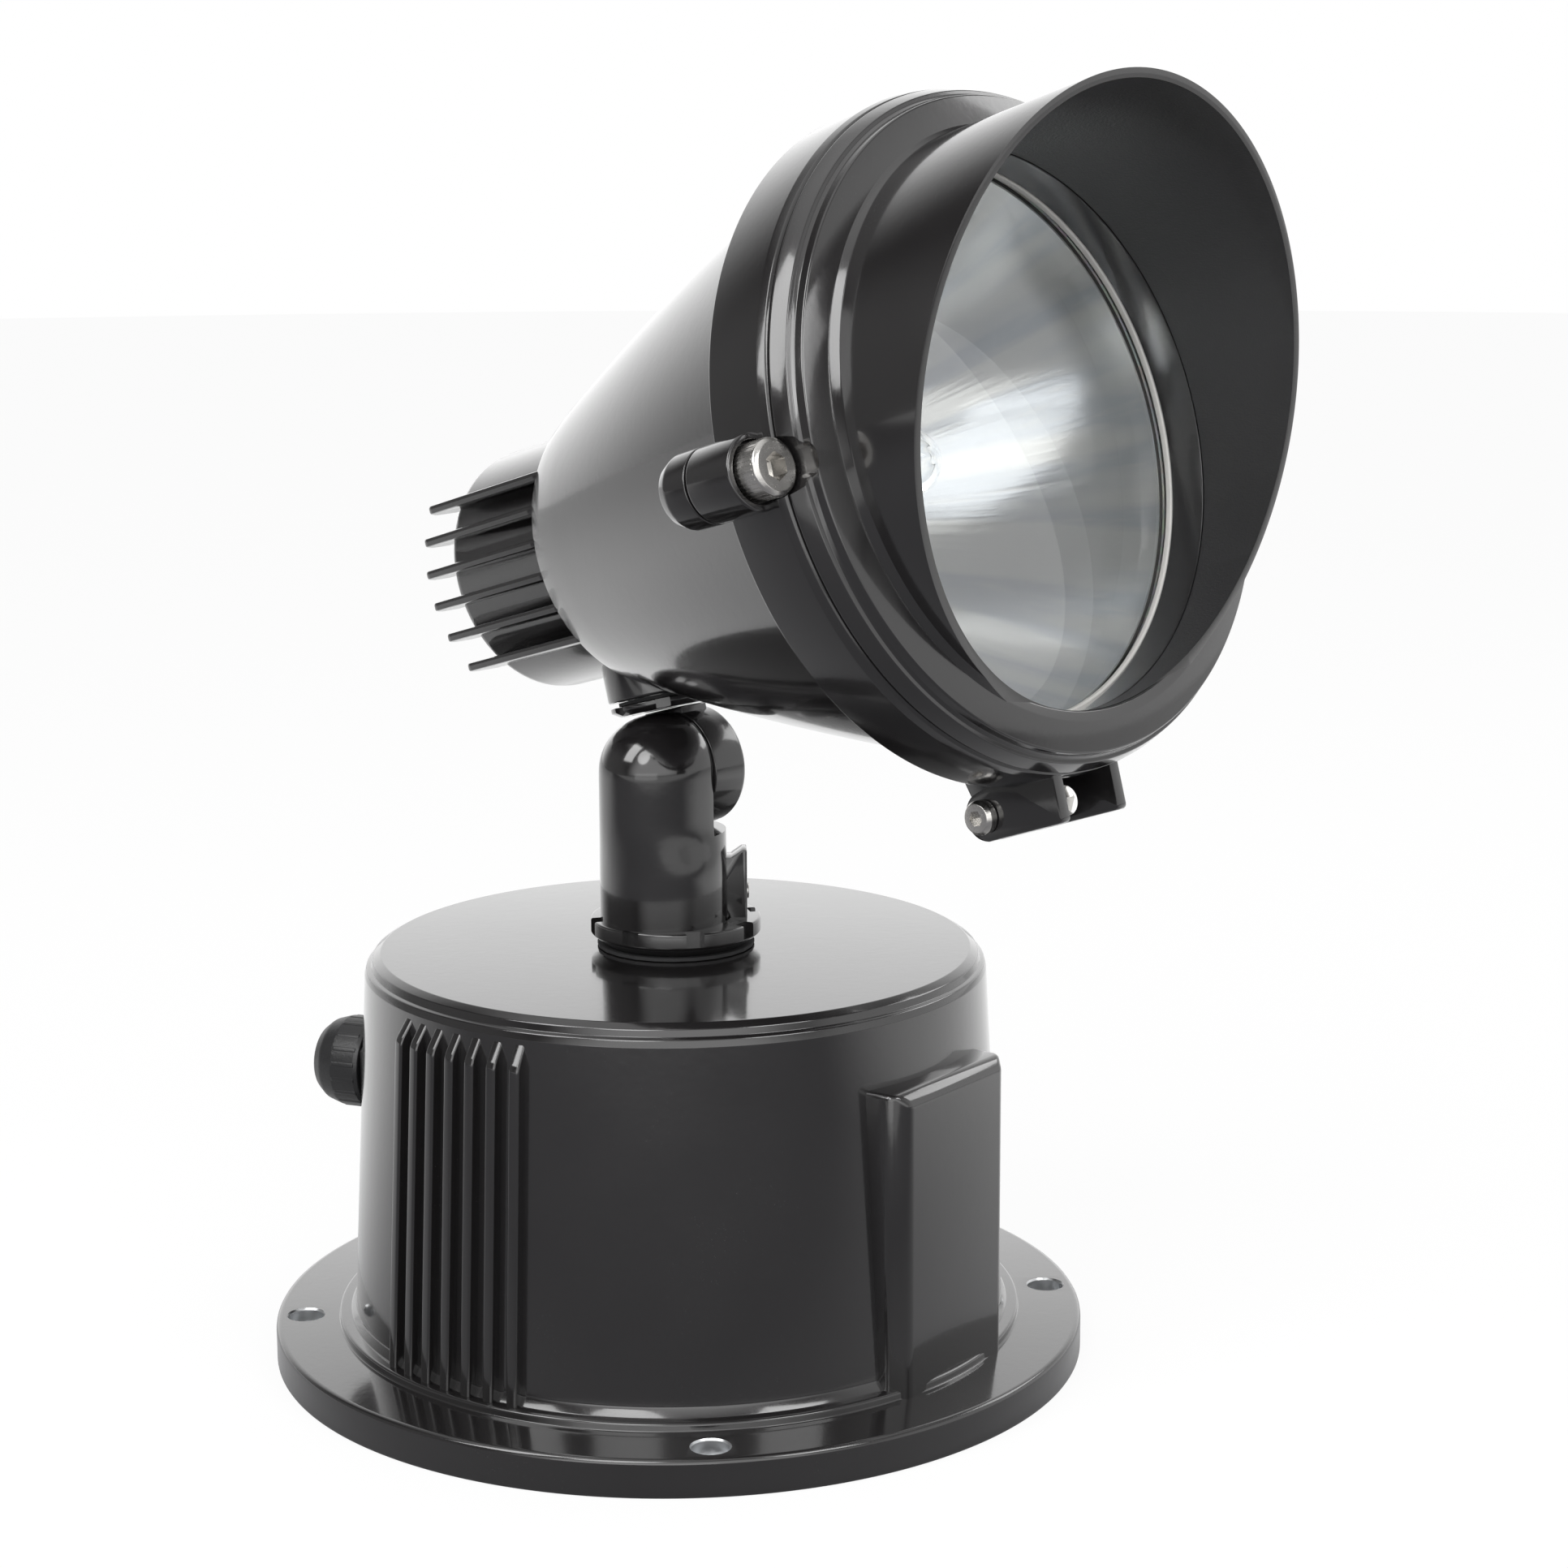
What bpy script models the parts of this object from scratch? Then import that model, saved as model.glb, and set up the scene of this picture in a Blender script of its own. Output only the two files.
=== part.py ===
"""Garden spotlight: a hooded lamp head on a knuckle joint over a round gear box.

Frame: metres, +Z up, origin at the centre of the flange's underside, and the
lamp head aimed along +X. Head pieces are modelled in head coordinates: X runs
along the light beam from the glass frame's rear face, Z is square to it.
"""
import math

import bmesh
import bpy
from mathutils import Matrix, Vector

# Clearances
GAP = 0.0003
RUN = 0.0008
HOLE_GAP = 0.0004

# Roundness of turned pieces
BIG_STEPS = 36
KNUCKLE_STEPS = 24
OPTIC_STEPS = 28
MID_STEPS = 18
SMALL_STEPS = 8

# Gear box, a casting with its flange
FLANGE_R = 0.125
FLANGE_T = 0.0115
FOOT_R = 0.1055
FOOT_H = 0.0025
WALL_BOTTOM_R = 0.1005
WALL_TOP_R = 0.0948
BOX_H = 0.1265
SHOULDER_H = 0.006
TOP_DISC_R = 0.0898
BOX_WALL = 0.004
BOX_TOP_T = 0.005
FLANGE_HOLE_R = 0.0033
FLANGE_SINK_R = 0.0055
FLANGE_SINK_DEPTH = 0.005
FLANGE_HOLE_RING = 0.116
FLANGE_HOLE_AZ = 50.0
STEM_HOLE_R = 0.012

# Cooling ribs on the wall
RIB_COUNT = 7
RIB_PITCH_DEG = 4.5
RIB_CENTRE_AZ = -85.3
RIB_W = 0.0032
RIB_PROUD = 0.0036

# Terminal bulge on the wall
BULGE_AZ = 6.7
BULGE_FACE = 0.1044
BULGE_HALF_W = 0.0278
BULGE_CHEEK = 0.0046
BULGE_TOP = 0.103
BULGE_WALL = 0.004

# Base plate, its gasket and screws
PLATE_R = 0.1040
PLATE_Z = 0.0034
PLATE_T = 0.002
PLATE_DISH_R = 0.0885
GASKET_T = 0.0012
PLATE_SEAT_R = 0.0964
PLATE_SCREW_RING = 0.0995
PLATE_SCREW_SHANK_R = 0.0017
PLATE_SCREW_HEAD_R = 0.0034
PLATE_SCREW_HEAD_T = 0.0022
PLATE_SCREW_LEN = 0.0080
PLATE_SCREW_AZ = 5.0

# Control gear inside the box
TRAY_L = 0.150
TRAY_W = 0.084
TRAY_T = 0.0015
TRAY_SCREW_X = 0.069
CORE_L = 0.080
CORE_W = 0.056
CORE_H = 0.048
CORE_YOKE = 0.014
CORE_LIMB = 0.018
CORE_SIDE = 0.008
CORE_X = -0.020
COIL_END = 0.011
COIL_TOP_DROP = 0.0035
STRAP_W = 0.020
STRAP_T = 0.0015
STRAP_FOOT = 0.010
CAPACITOR_R = 0.018
CAPACITOR_H = 0.082
CAPACITOR_X = 0.055
CAPACITOR_Y = -0.022
IGNITOR_SIZE = (0.034, 0.032, 0.060)
IGNITOR_Y = 0.022
TERMINAL_SIZE = (0.042, 0.012, 0.019)
TERMINAL_X = 0.012
EARTH_X = -0.050
EARTH_R = 0.0025
EARTH_H = 0.014
TRAY_SIDE_Y = 0.0355

# Cable gland
GLAND_AZ = 203.0
GLAND_Z = 0.078
GLAND_THREAD_R = 0.0097
GLAND_BORE_R = 0.0066
GLAND_NUT_R = 0.0144
GLAND_NUT_L = 0.0190
GLAND_FLANGE_T = 0.0045
GLAND_MOUTH_R = 0.0055
GLAND_PAD_R = 0.0158
GLAND_SEAL_BORE_R = 0.004

# Knuckle, lower half
LOCK_RING_R = 0.026
LOCK_RING_H = 0.0074
LOCK_NOTCHES = 8
NECK_R = 0.0168
STEM_R = 0.0115
STEM_BELOW = 0.0145
PAN_SEAL_T = 0.001
PAN_SEAL_R = 0.024
WIRE_BORE_R = 0.007
POST_R = 0.0193
POST_OFFSET = 0.005
BULLET_R = 0.0174
PIVOT_Z = 0.181
HALF_DISC_R = 0.0175
HALF_DISC_T = 0.014
PIVOT_BOLT_R = 0.004
PIVOT_HEAD_R = 0.0065
PIVOT_HEAD_T = 0.004
PIVOT_BOLT_DEPTH = 0.012
STEM_NUT_R = 0.019
STEM_NUT_T = 0.0087
LOCK_LUG_AZ = 46.0
LOCK_LUG_REACH = 0.0218
LOCK_LUG_W = 0.009
LOCK_LUG_H = 0.018

# Head pose and the place of its frame of reference
HEAD_TILT = 16.0
PIVOT_BEHIND = 0.1389
PIVOT_BELOW = 0.0692

# Knuckle, upper half
ARM_NECK_R = 0.009
ARM_BORE_R = 0.005
ARM_NECK_TOP = 0.030
UPPER_NUT_R = 0.0152
UPPER_NUT_LOW_R = 0.0128
ARM_SEAL_T = 0.001
ARM_SEAL_R = 0.0126
ARM_BOSS_R = 0.0155
ARM_BOSS_FACE = 0.0464

# Lamp housing
CONE_FRONT_R = 0.087
CONE_REAR_R = 0.0443
CONE_REAR_X = -0.132
TAIL_R = 0.0373
TAIL_X = -0.178
HOUSING_WALL = 0.0033
RIM_R = 0.086
RIM_X = 0.0012
RIM_BORE_R = 0.0796
LEDGE_X = -0.0016
LEDGE_R = 0.0774
HOLDER_LEDGE_X = -0.126
FIN_COUNT = 6
FIN_PITCH = 0.0098
FIN_T = 0.0026
FIN_R = 0.0445
FIN_REAR_X = -0.185
FIN_TOP_Z = 0.0226

# Front seal
SEAL_IN_R = 0.0824
SEAL_OUT_R = 0.0847
SEAL_DEPTH = 0.0022

# Glass frame
FRAME_R = 0.0939
FRAME_L = 0.0205
FRAME_SKIRT_R = 0.0873
FRAME_FACE_X = 0.0015
BORE_R = 0.0774
POCKET_R = 0.0820
POCKET_X = 0.0095
GLASS_T = 0.0035
GLASS_SEAL_T = 0.0015
SNAP_T = 0.0010
SNAP_GROOVE = 0.0009

# Clamp screws and their lugs
CLAMP_Y = 0.0964
CLAMP_Z = -0.003
LUG_R = 0.0101
LUG_FRONT = 0.016
CLAMP_SEAT = 0.0133
CLAMP_HEAD_R = 0.0075
CLAMP_HEAD_L = 0.0093
CLAMP_SHANK_R = 0.0039
CLAMP_HOLE_R = 0.0046
CLAMP_REACH = 0.009
BOSS_BACK = 0.008
BOSS_DOME = 0.0056
WEB_FRONT_X = -0.0014
HEX_R = 0.0038
HEX_DEPTH = 0.005

# Hinge below the frame
HINGE_X = -0.007
HINGE_Z = -0.0999
EYE_R = 0.007
EAR_Y = 0.012
EAR_T = 0.004
EAR_FRONT = 0.0195
EAR_FOOT_Z = -0.1053
HINGE_BOLT_R = 0.003
HINGE_HEAD_R = 0.0048
HINGE_HEAD_T = 0.0035
LANYARD_HOLE_R = 0.0042
LANYARD_HOLE_X = 0.0018

# Hood
HOOD_WALL = 0.0024
HOOD_CUT_X = 0.0555
HOOD_CUT_SLOPE = 0.352
HOOD_SCREW_RING = 0.0899
HOOD_SCREW_R = 0.0012
HOOD_SCREW_HEAD_R = 0.0023
HOOD_SCREW_HEAD_T = 0.0023

# Lamp, holder and reflector
PARABOLA_F = 0.0235
REFLECTOR_RIM_R = 0.0758
REFLECTOR_FLANGE_R = 0.0789
REFLECTOR_T = 0.001
REFLECTOR_NECK_R = 0.021
REFLECTOR_FLANGE_IN_R = 0.018
REFLECTOR_BACK_R = 0.030
PILLAR_RING = 0.026
PILLAR_R = 0.003
PILLAR_AZ = 33.0
STUD_R = 0.0015
HOLDER_R = 0.017
HOLDER_FRONT_X = -0.095
HOLDER_PLATE_R = 0.0415
HOLDER_PLATE_T = 0.0015
HOLDER_SCREW_RING = 0.0382
LAMP_BASE_R = 0.0125
LAMP_BASE_FRONT_X = -0.072
LAMP_BULB_R = 0.0095
LAMP_TIP_X = -0.012

MATERIALS = {}


def clear_scene():
    for obj in list(bpy.data.objects):
        bpy.data.objects.remove(obj, do_unlink=True)


def material(name, colour, roughness, metallic):
    if name not in MATERIALS:
        mat = bpy.data.materials.new(name)
        mat.use_nodes = True
        shader = mat.node_tree.nodes["Principled BSDF"]
        shader.inputs["Base Color"].default_value = (*colour, 1.0)
        shader.inputs["Roughness"].default_value = roughness
        shader.inputs["Metallic"].default_value = metallic
        mat.diffuse_color = (*colour, 1.0)
        MATERIALS[name] = mat
    return MATERIALS[name]


def black_paint():
    return material("black_powder_coat", (0.018, 0.018, 0.019), 0.22, 0.0)


def hood_paint():
    return material("hood_paint", (0.016, 0.016, 0.017), 0.35, 0.0)


def stainless():
    return material("stainless_steel", (0.62, 0.61, 0.59), 0.28, 1.0)


def zinc_steel():
    return material("zinc_plated_steel", (0.55, 0.55, 0.53), 0.4, 1.0)


def rubber():
    return material("black_rubber", (0.02, 0.02, 0.02), 0.8, 0.0)


def silicone():
    return material("silicone_seal", (0.45, 0.42, 0.38), 0.6, 0.0)


def polished():
    return material("polished_aluminium", (0.86, 0.87, 0.88), 0.12, 1.0)


def clear_glass():
    return material("clear_glass", (0.85, 0.9, 0.9), 0.05, 0.0)


def ceramic():
    return material("white_ceramic", (0.82, 0.8, 0.76), 0.5, 0.0)


def copper():
    return material("enamelled_copper", (0.45, 0.16, 0.06), 0.4, 0.6)


def lamination():
    return material("lamination_steel", (0.2, 0.2, 0.21), 0.5, 0.7)


def grey_plastic():
    return material("grey_plastic", (0.3, 0.31, 0.32), 0.5, 0.0)


def nylon():
    return material("black_nylon", (0.02, 0.02, 0.021), 0.45, 0.0)


def brass():
    return material("brass", (0.6, 0.42, 0.16), 0.35, 1.0)


def finish_mesh(bm, name):
    bmesh.ops.remove_doubles(bm, verts=bm.verts, dist=1e-7)
    bmesh.ops.recalc_face_normals(bm, faces=bm.faces)
    mesh = bpy.data.meshes.new(name)
    bm.to_mesh(mesh)
    bm.free()
    return mesh


def new_object(name, mesh, mat):
    obj = bpy.data.objects.new(name, mesh)
    bpy.context.scene.collection.objects.link(obj)
    mesh.materials.append(mat)
    mesh.shade_smooth()
    mesh.set_sharp_from_angle(angle=math.radians(32))
    return obj


def turn_about(axis):
    """Rotation that takes the Z axis to the named axis."""
    if axis == "X":
        return Matrix.Rotation(math.radians(90), 4, "Y")
    if axis == "Y":
        return Matrix.Rotation(math.radians(-90), 4, "X")
    return Matrix.Identity(4)


def add_turned(bm, outline, steps, place=Matrix.Identity(4)):
    """Spin a closed outline of (along, radius) points, or one whose two ends
    lie on the axis, into a solid about Z, then place it."""
    points = [bm.verts.new((radius, 0.0, along)) for along, radius in outline]
    edges = [bm.edges.new(pair) for pair in zip(points, points[1:])]
    if outline[0][1] > 0.0 or outline[-1][1] > 0.0:
        edges.append(bm.edges.new((points[-1], points[0])))
    before = set(bm.verts) - set(points)
    bmesh.ops.spin(bm, geom=points + edges, axis=(0, 0, 1), cent=(0, 0, 0),
                   angle=math.tau, steps=steps, use_merge=True)
    made = [vert for vert in bm.verts if vert not in before]
    bmesh.ops.remove_doubles(bm, verts=made, dist=1e-7)
    made = [vert for vert in bm.verts if vert not in before]
    bmesh.ops.transform(bm, matrix=place, verts=made)


def add_box(bm, low, high, place=Matrix.Identity(4)):
    low = Vector(low)
    high = Vector(high)
    centre = (low + high) / 2
    size = Matrix.Diagonal((*(high - low), 1.0))
    bmesh.ops.create_cube(bm, size=1.0, matrix=place @ Matrix.Translation(centre) @ size)


def add_slab(bm, outline, low, high, place=Matrix.Identity(4)):
    """Extrude an (x, z) outline along Y from low to high."""
    verts = [bm.verts.new((x, low, z)) for x, z in outline]
    face = bm.faces.new(verts)
    ret = bmesh.ops.extrude_face_region(bm, geom=[face])
    moved = [item for item in ret["geom"] if isinstance(item, bmesh.types.BMVert)]
    bmesh.ops.translate(bm, vec=(0, high - low, 0), verts=moved)
    bmesh.ops.transform(bm, matrix=place, verts=verts + moved)


def rod_outline(low, high, radius):
    return [(low, 0.0), (low, radius), (high, radius), (high, 0.0)]


def tube_outline(low, high, inner, outer):
    return [(low, inner), (low, outer), (high, outer), (high, inner)]


def turned(name, outline, mat, axis="Z", steps=BIG_STEPS, place=Matrix.Identity(4)):
    bm = bmesh.new()
    add_turned(bm, outline, steps, place @ turn_about(axis))
    return new_object(name, finish_mesh(bm, name), mat)


def tool(name, fill):
    """A hidden shape that a Boolean adds or cuts; fill(bm) models it."""
    bm = bmesh.new()
    fill(bm)
    mesh = finish_mesh(bm, name)
    obj = bpy.data.objects.new(name, mesh)
    bpy.context.scene.collection.objects.link(obj)
    obj.hide_render = True
    obj.display_type = "WIRE"
    return obj


def boolean(obj, operation, fill):
    other = tool(f"{obj.name}_{operation.lower()}_{len(obj.modifiers)}", fill)
    mod = obj.modifiers.new(operation.title(), "BOOLEAN")
    mod.operation = operation
    mod.solver = "EXACT"
    mod.object = other
    return other


def add_to(obj, fill):
    return boolean(obj, "UNION", fill)


def cut_from(obj, fill):
    return boolean(obj, "DIFFERENCE", fill)


def spot(x, y, z=0.0):
    return Matrix.Translation((x, y, z))


def polar(ring, azimuth, z=0.0):
    angle = math.radians(azimuth)
    return spot(ring * math.cos(angle), ring * math.sin(angle), z)


def facing(azimuth, z=0.0):
    """Place whose X axis points out along an azimuth."""
    return Matrix.Translation((0, 0, z)) @ Matrix.Rotation(math.radians(azimuth), 4, "Z")


def wall_radius(z):
    """Outer radius of the box wall at a height."""
    low = FLANGE_T + FOOT_H
    high = BOX_H - SHOULDER_H
    share = (z - low) / (high - low)
    return WALL_BOTTOM_R + (WALL_TOP_R - WALL_BOTTOM_R) * share


def plate_seat_z():
    return PLATE_Z + PLATE_T + GAP + GASKET_T + GAP


def gear_box_outline():
    low = FLANGE_T + FOOT_H
    high = BOX_H - SHOULDER_H
    band = SHOULDER_H / 6
    seat = plate_seat_z()
    return [
        (0.0, PLATE_R + GAP),
        (0.0, FLANGE_R - 0.0006),
        (0.0008, FLANGE_R),
        (FLANGE_T - 0.0015, FLANGE_R),
        (FLANGE_T, FLANGE_R - 0.0015),
        (FLANGE_T, FOOT_R),
        (low - 0.0006, FOOT_R),
        (low, FOOT_R - 0.0008),
        (low + 0.0002, WALL_BOTTOM_R + 0.0018),
        (low + 0.002, WALL_BOTTOM_R),
        (high, WALL_TOP_R),
        (high + 2.2 * band, WALL_TOP_R - 0.0008),
        (high + 2.6 * band, TOP_DISC_R + 0.0030),
        (high + 4.4 * band, TOP_DISC_R + 0.0024),
        (BOX_H - 0.0004, TOP_DISC_R + 0.0010),
        (BOX_H, TOP_DISC_R),
        (BOX_H, STEM_HOLE_R),
        (BOX_H - BOX_TOP_T, STEM_HOLE_R),
        (BOX_H - BOX_TOP_T, wall_radius(high) - BOX_WALL - 0.003),
        (BOX_H - BOX_TOP_T - 0.003, wall_radius(high) - BOX_WALL),
        (low, WALL_BOTTOM_R - BOX_WALL),
        (seat, PLATE_SEAT_R),
        (seat, PLATE_R + GAP),
    ]


def rib_outline():
    """Side view of one rib: radius against height, rounded over at the top."""
    low = FLANGE_T + FOOT_H / 2
    high = BOX_H - SHOULDER_H
    inside = BOX_WALL / 2
    return [
        (wall_radius(low) - inside, low),
        (wall_radius(low) + RIB_PROUD, low),
        (wall_radius(high - 0.006) + RIB_PROUD, high - 0.006),
        (wall_radius(high - 0.002) + RIB_PROUD * 0.75, high - 0.002),
        (wall_radius(high) + RIB_PROUD * 0.1, high),
        (wall_radius(high) - inside, high),
    ]


def fill_ribs(bm):
    for index in range(RIB_COUNT):
        azimuth = RIB_CENTRE_AZ + (index - (RIB_COUNT - 1) / 2) * RIB_PITCH_DEG
        add_slab(bm, rib_outline(), -RIB_W / 2, RIB_W / 2, facing(azimuth))


def fill_bulge_block(bm, shrink, low):
    """A block on the wall with chamfered edges all round, inset by shrink."""
    face = BULGE_FACE - shrink
    half = BULGE_HALF_W - shrink
    inner = WALL_TOP_R - BOX_WALL / 2 - 0.004 - shrink
    plan = [(inner, -half), (face - BULGE_CHEEK, -half), (face, -half + BULGE_CHEEK),
            (face, half - BULGE_CHEEK), (face - BULGE_CHEEK, half), (inner, half)]
    verts = [bm.verts.new((x, y, low)) for x, y in plan]
    ret = bmesh.ops.extrude_face_region(bm, geom=[bm.faces.new(verts)])
    lifted = [item for item in ret["geom"] if isinstance(item, bmesh.types.BMVert)]
    bmesh.ops.translate(bm, vec=(0, 0, BULGE_TOP - shrink - low), verts=lifted)
    ret = bmesh.ops.bisect_plane(bm, geom=bm.verts[:] + bm.edges[:] + bm.faces[:],
                                 plane_co=(face, 0, BULGE_TOP - shrink - BULGE_CHEEK),
                                 plane_no=Vector((1, 0, 1)).normalized(), clear_outer=True)
    rim = [item for item in ret["geom_cut"] if isinstance(item, bmesh.types.BMEdge)]
    bmesh.ops.edgeloop_fill(bm, edges=rim)
    bmesh.ops.transform(bm, matrix=facing(BULGE_AZ), verts=bm.verts[:])


def fill_bulge(bm):
    fill_bulge_block(bm, 0.0, FLANGE_T - 0.0025)


def fill_bulge_pocket(bm):
    fill_bulge_block(bm, BULGE_WALL, FLANGE_T + BOX_WALL)


def gland_face():
    """Distance from the axis to the flat pad under the cable gland."""
    return wall_radius(GLAND_Z) + 0.0022


def fill_gland_pad(bm):
    outline = rod_outline(wall_radius(GLAND_Z) - BOX_WALL / 2 - 0.0012, gland_face(), GLAND_PAD_R)
    add_turned(bm, outline, MID_STEPS, facing(GLAND_AZ, GLAND_Z) @ turn_about("X"))


def fill_gland_hole(bm):
    outline = rod_outline(WALL_TOP_R * 0.8, gland_face() + 0.01, GLAND_THREAD_R + GAP)
    add_turned(bm, outline, MID_STEPS, facing(GLAND_AZ, GLAND_Z) @ turn_about("X"))


def fill_flange_holes(bm):
    sink = FLANGE_T - FLANGE_SINK_DEPTH
    outline = [(-0.001, 0.0), (-0.001, FLANGE_HOLE_R), (sink, FLANGE_HOLE_R),
               (sink, FLANGE_SINK_R), (FLANGE_T + 0.001, FLANGE_SINK_R), (FLANGE_T + 0.001, 0.0)]
    for index in range(4):
        add_turned(bm, outline, MID_STEPS, polar(FLANGE_HOLE_RING, FLANGE_HOLE_AZ + 90 * index))


def fill_plate_screw_holes(bm):
    top = PLATE_Z + PLATE_SCREW_LEN + 0.0008
    outline = rod_outline(PLATE_Z - 0.002, top, PLATE_SCREW_SHANK_R + GAP)
    for index in range(4):
        add_turned(bm, outline, SMALL_STEPS, polar(PLATE_SCREW_RING, PLATE_SCREW_AZ + 90 * index))


def gear_box():
    obj = turned("gear_box", gear_box_outline(), black_paint())
    add_to(obj, fill_ribs)
    add_to(obj, fill_bulge)
    add_to(obj, fill_gland_pad)
    cut_from(obj, fill_bulge_pocket)
    cut_from(obj, fill_gland_hole)
    cut_from(obj, fill_flange_holes)
    cut_from(obj, fill_plate_screw_holes)


def fill_tray_screw_holes(bm):
    for sign in (-1, 1):
        add_turned(bm, rod_outline(-0.001, 0.02, EARTH_R * 0.72), SMALL_STEPS, spot(sign * TRAY_SCREW_X, 0))


def base_plate():
    """A pressed cover: its middle stands on the ground, its rim lies higher."""
    slope = PLATE_Z * 0.7
    outline = [(0.0, 0.0), (0.0, PLATE_DISH_R), (PLATE_Z, PLATE_DISH_R + slope), (PLATE_Z, PLATE_R),
               (PLATE_Z + PLATE_T, PLATE_R), (PLATE_Z + PLATE_T, PLATE_DISH_R + slope - PLATE_T / 2),
               (PLATE_T, PLATE_DISH_R - PLATE_T / 2), (PLATE_T, 0.0)]
    obj = turned("base_plate", outline, zinc_steel())
    cut_from(obj, fill_plate_screw_holes)
    cut_from(obj, fill_tray_screw_holes)


def base_gasket():
    low = PLATE_Z + PLATE_T + GAP
    outline = tube_outline(low, low + GASKET_T, PLATE_SEAT_R + GAP, PLATE_R - GAP)
    obj = turned("base_gasket", outline, rubber())
    cut_from(obj, fill_plate_screw_holes)


def screw_outline(seat, head_t, head_r, shank_r, length):
    """A screw whose head lies below its seat and whose shank points up."""
    return [(seat - head_t, 0.0), (seat - head_t, head_r * 0.85), (seat - head_t * 0.7, head_r),
            (seat, head_r), (seat, shank_r), (seat + length - shank_r / 2, shank_r),
            (seat + length, shank_r / 2), (seat + length, 0.0)]


def base_plate_screws():
    outline = screw_outline(PLATE_Z - GAP, PLATE_SCREW_HEAD_T, PLATE_SCREW_HEAD_R,
                            PLATE_SCREW_SHANK_R, PLATE_SCREW_LEN)
    for index in range(4):
        turned(f"base_plate_screw_{index + 1}", outline, stainless(), steps=SMALL_STEPS,
               place=polar(PLATE_SCREW_RING, PLATE_SCREW_AZ + 90 * index))


def tray_z():
    return PLATE_T + GAP


def gear_z():
    return tray_z() + TRAY_T + GAP


def fill_strap_screw_holes(bm):
    for sign in (-1, 1):
        add_turned(bm, rod_outline(tray_z() - 0.001, gear_z() + 0.004, EARTH_R * 0.72), SMALL_STEPS,
                   spot(CORE_X, sign * TRAY_SIDE_Y))


def gear_tray():
    bm = bmesh.new()
    add_box(bm, (-TRAY_L / 2, -TRAY_W / 2, tray_z()), (TRAY_L / 2, TRAY_W / 2, tray_z() + TRAY_T))
    obj = new_object("gear_tray", finish_mesh(bm, "gear_tray"), zinc_steel())
    cut_from(obj, fill_tray_screw_holes)
    cut_from(obj, fill_strap_screw_holes)


def small_screw(name, place, length):
    """A pan-head screw that points down from its seat at the place's origin."""
    outline = screw_outline(0.0, 0.0022, 0.0032, EARTH_R * 0.72 - GAP, length)
    turned(name, outline, stainless(), steps=SMALL_STEPS,
           place=place @ Matrix.Rotation(math.pi, 4, "X"))


def tray_screws():
    for index, sign in enumerate((-1, 1)):
        small_screw(f"tray_screw_{index + 1}", spot(sign * TRAY_SCREW_X, 0, gear_z()), 0.0036)


def ballast_core():
    low = gear_z()
    bm = bmesh.new()
    half = CORE_L / 2
    add_box(bm, (CORE_X - half, -CORE_W / 2, low), (CORE_X + half, CORE_W / 2, low + CORE_H))
    obj = new_object("ballast_core", finish_mesh(bm, "ballast_core"), lamination())

    def fill(bm):
        for sign in (-1, 1):
            near = sign * CORE_LIMB / 2
            far = sign * (CORE_W / 2 - CORE_SIDE)
            add_box(bm, (CORE_X - half - 0.001, min(near, far), low + CORE_YOKE),
                    (CORE_X + half + 0.001, max(near, far), low + CORE_H + 0.001))
    cut_from(obj, fill)


def ballast_coil():
    low = gear_z() + CORE_YOKE + GAP
    high = gear_z() + CORE_H - COIL_TOP_DROP
    half = CORE_L / 2 + GAP
    outer_y = CORE_W / 2 - CORE_SIDE - GAP
    inner_y = CORE_LIMB / 2 + GAP
    bm = bmesh.new()
    add_box(bm, (CORE_X - half - COIL_END, -outer_y, low), (CORE_X + half + COIL_END, outer_y, high))
    obj = new_object("ballast_coil", finish_mesh(bm, "ballast_coil"), copper())

    def fill(bm):
        add_box(bm, (CORE_X - half, -inner_y, low - 0.001), (CORE_X + half, inner_y, high + 0.001))
    cut_from(obj, fill)


def ballast_strap():
    low = gear_z()
    side = CORE_W / 2 + GAP
    top = low + CORE_H + GAP
    foot = side + STRAP_T + STRAP_FOOT
    outline = [(-foot, low), (-side, low), (-side, top), (side, top), (side, low), (foot, low),
               (foot, low + STRAP_T), (side + STRAP_T, low + STRAP_T),
               (side + STRAP_T, top + STRAP_T), (-side - STRAP_T, top + STRAP_T),
               (-side - STRAP_T, low + STRAP_T), (-foot, low + STRAP_T)]
    bm = bmesh.new()
    across = Matrix.Translation((CORE_X, 0, 0)) @ Matrix.Rotation(math.radians(90), 4, "Z")
    add_slab(bm, outline, -STRAP_W / 2, STRAP_W / 2, across)
    obj = new_object("ballast_strap", finish_mesh(bm, "ballast_strap"), zinc_steel())
    cut_from(obj, fill_strap_screw_holes)
    for index, sign in enumerate((-1, 1)):
        small_screw(f"strap_screw_{index + 1}",
                    spot(CORE_X, sign * TRAY_SIDE_Y, low + STRAP_T + GAP), 0.0034)


def capacitor():
    low = gear_z()
    high = low + CAPACITOR_H
    rim = 0.0012
    outline = [(low, 0.0), (low, CAPACITOR_R - rim), (low + rim, CAPACITOR_R),
               (high - 2 * rim, CAPACITOR_R), (high - rim, CAPACITOR_R - rim),
               (high, CAPACITOR_R - rim), (high, CAPACITOR_R - 2 * rim),
               (high - rim, CAPACITOR_R - 2 * rim), (high - rim, 0.0)]
    turned("capacitor", outline, polished(), steps=MID_STEPS, place=spot(CAPACITOR_X, CAPACITOR_Y))


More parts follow.
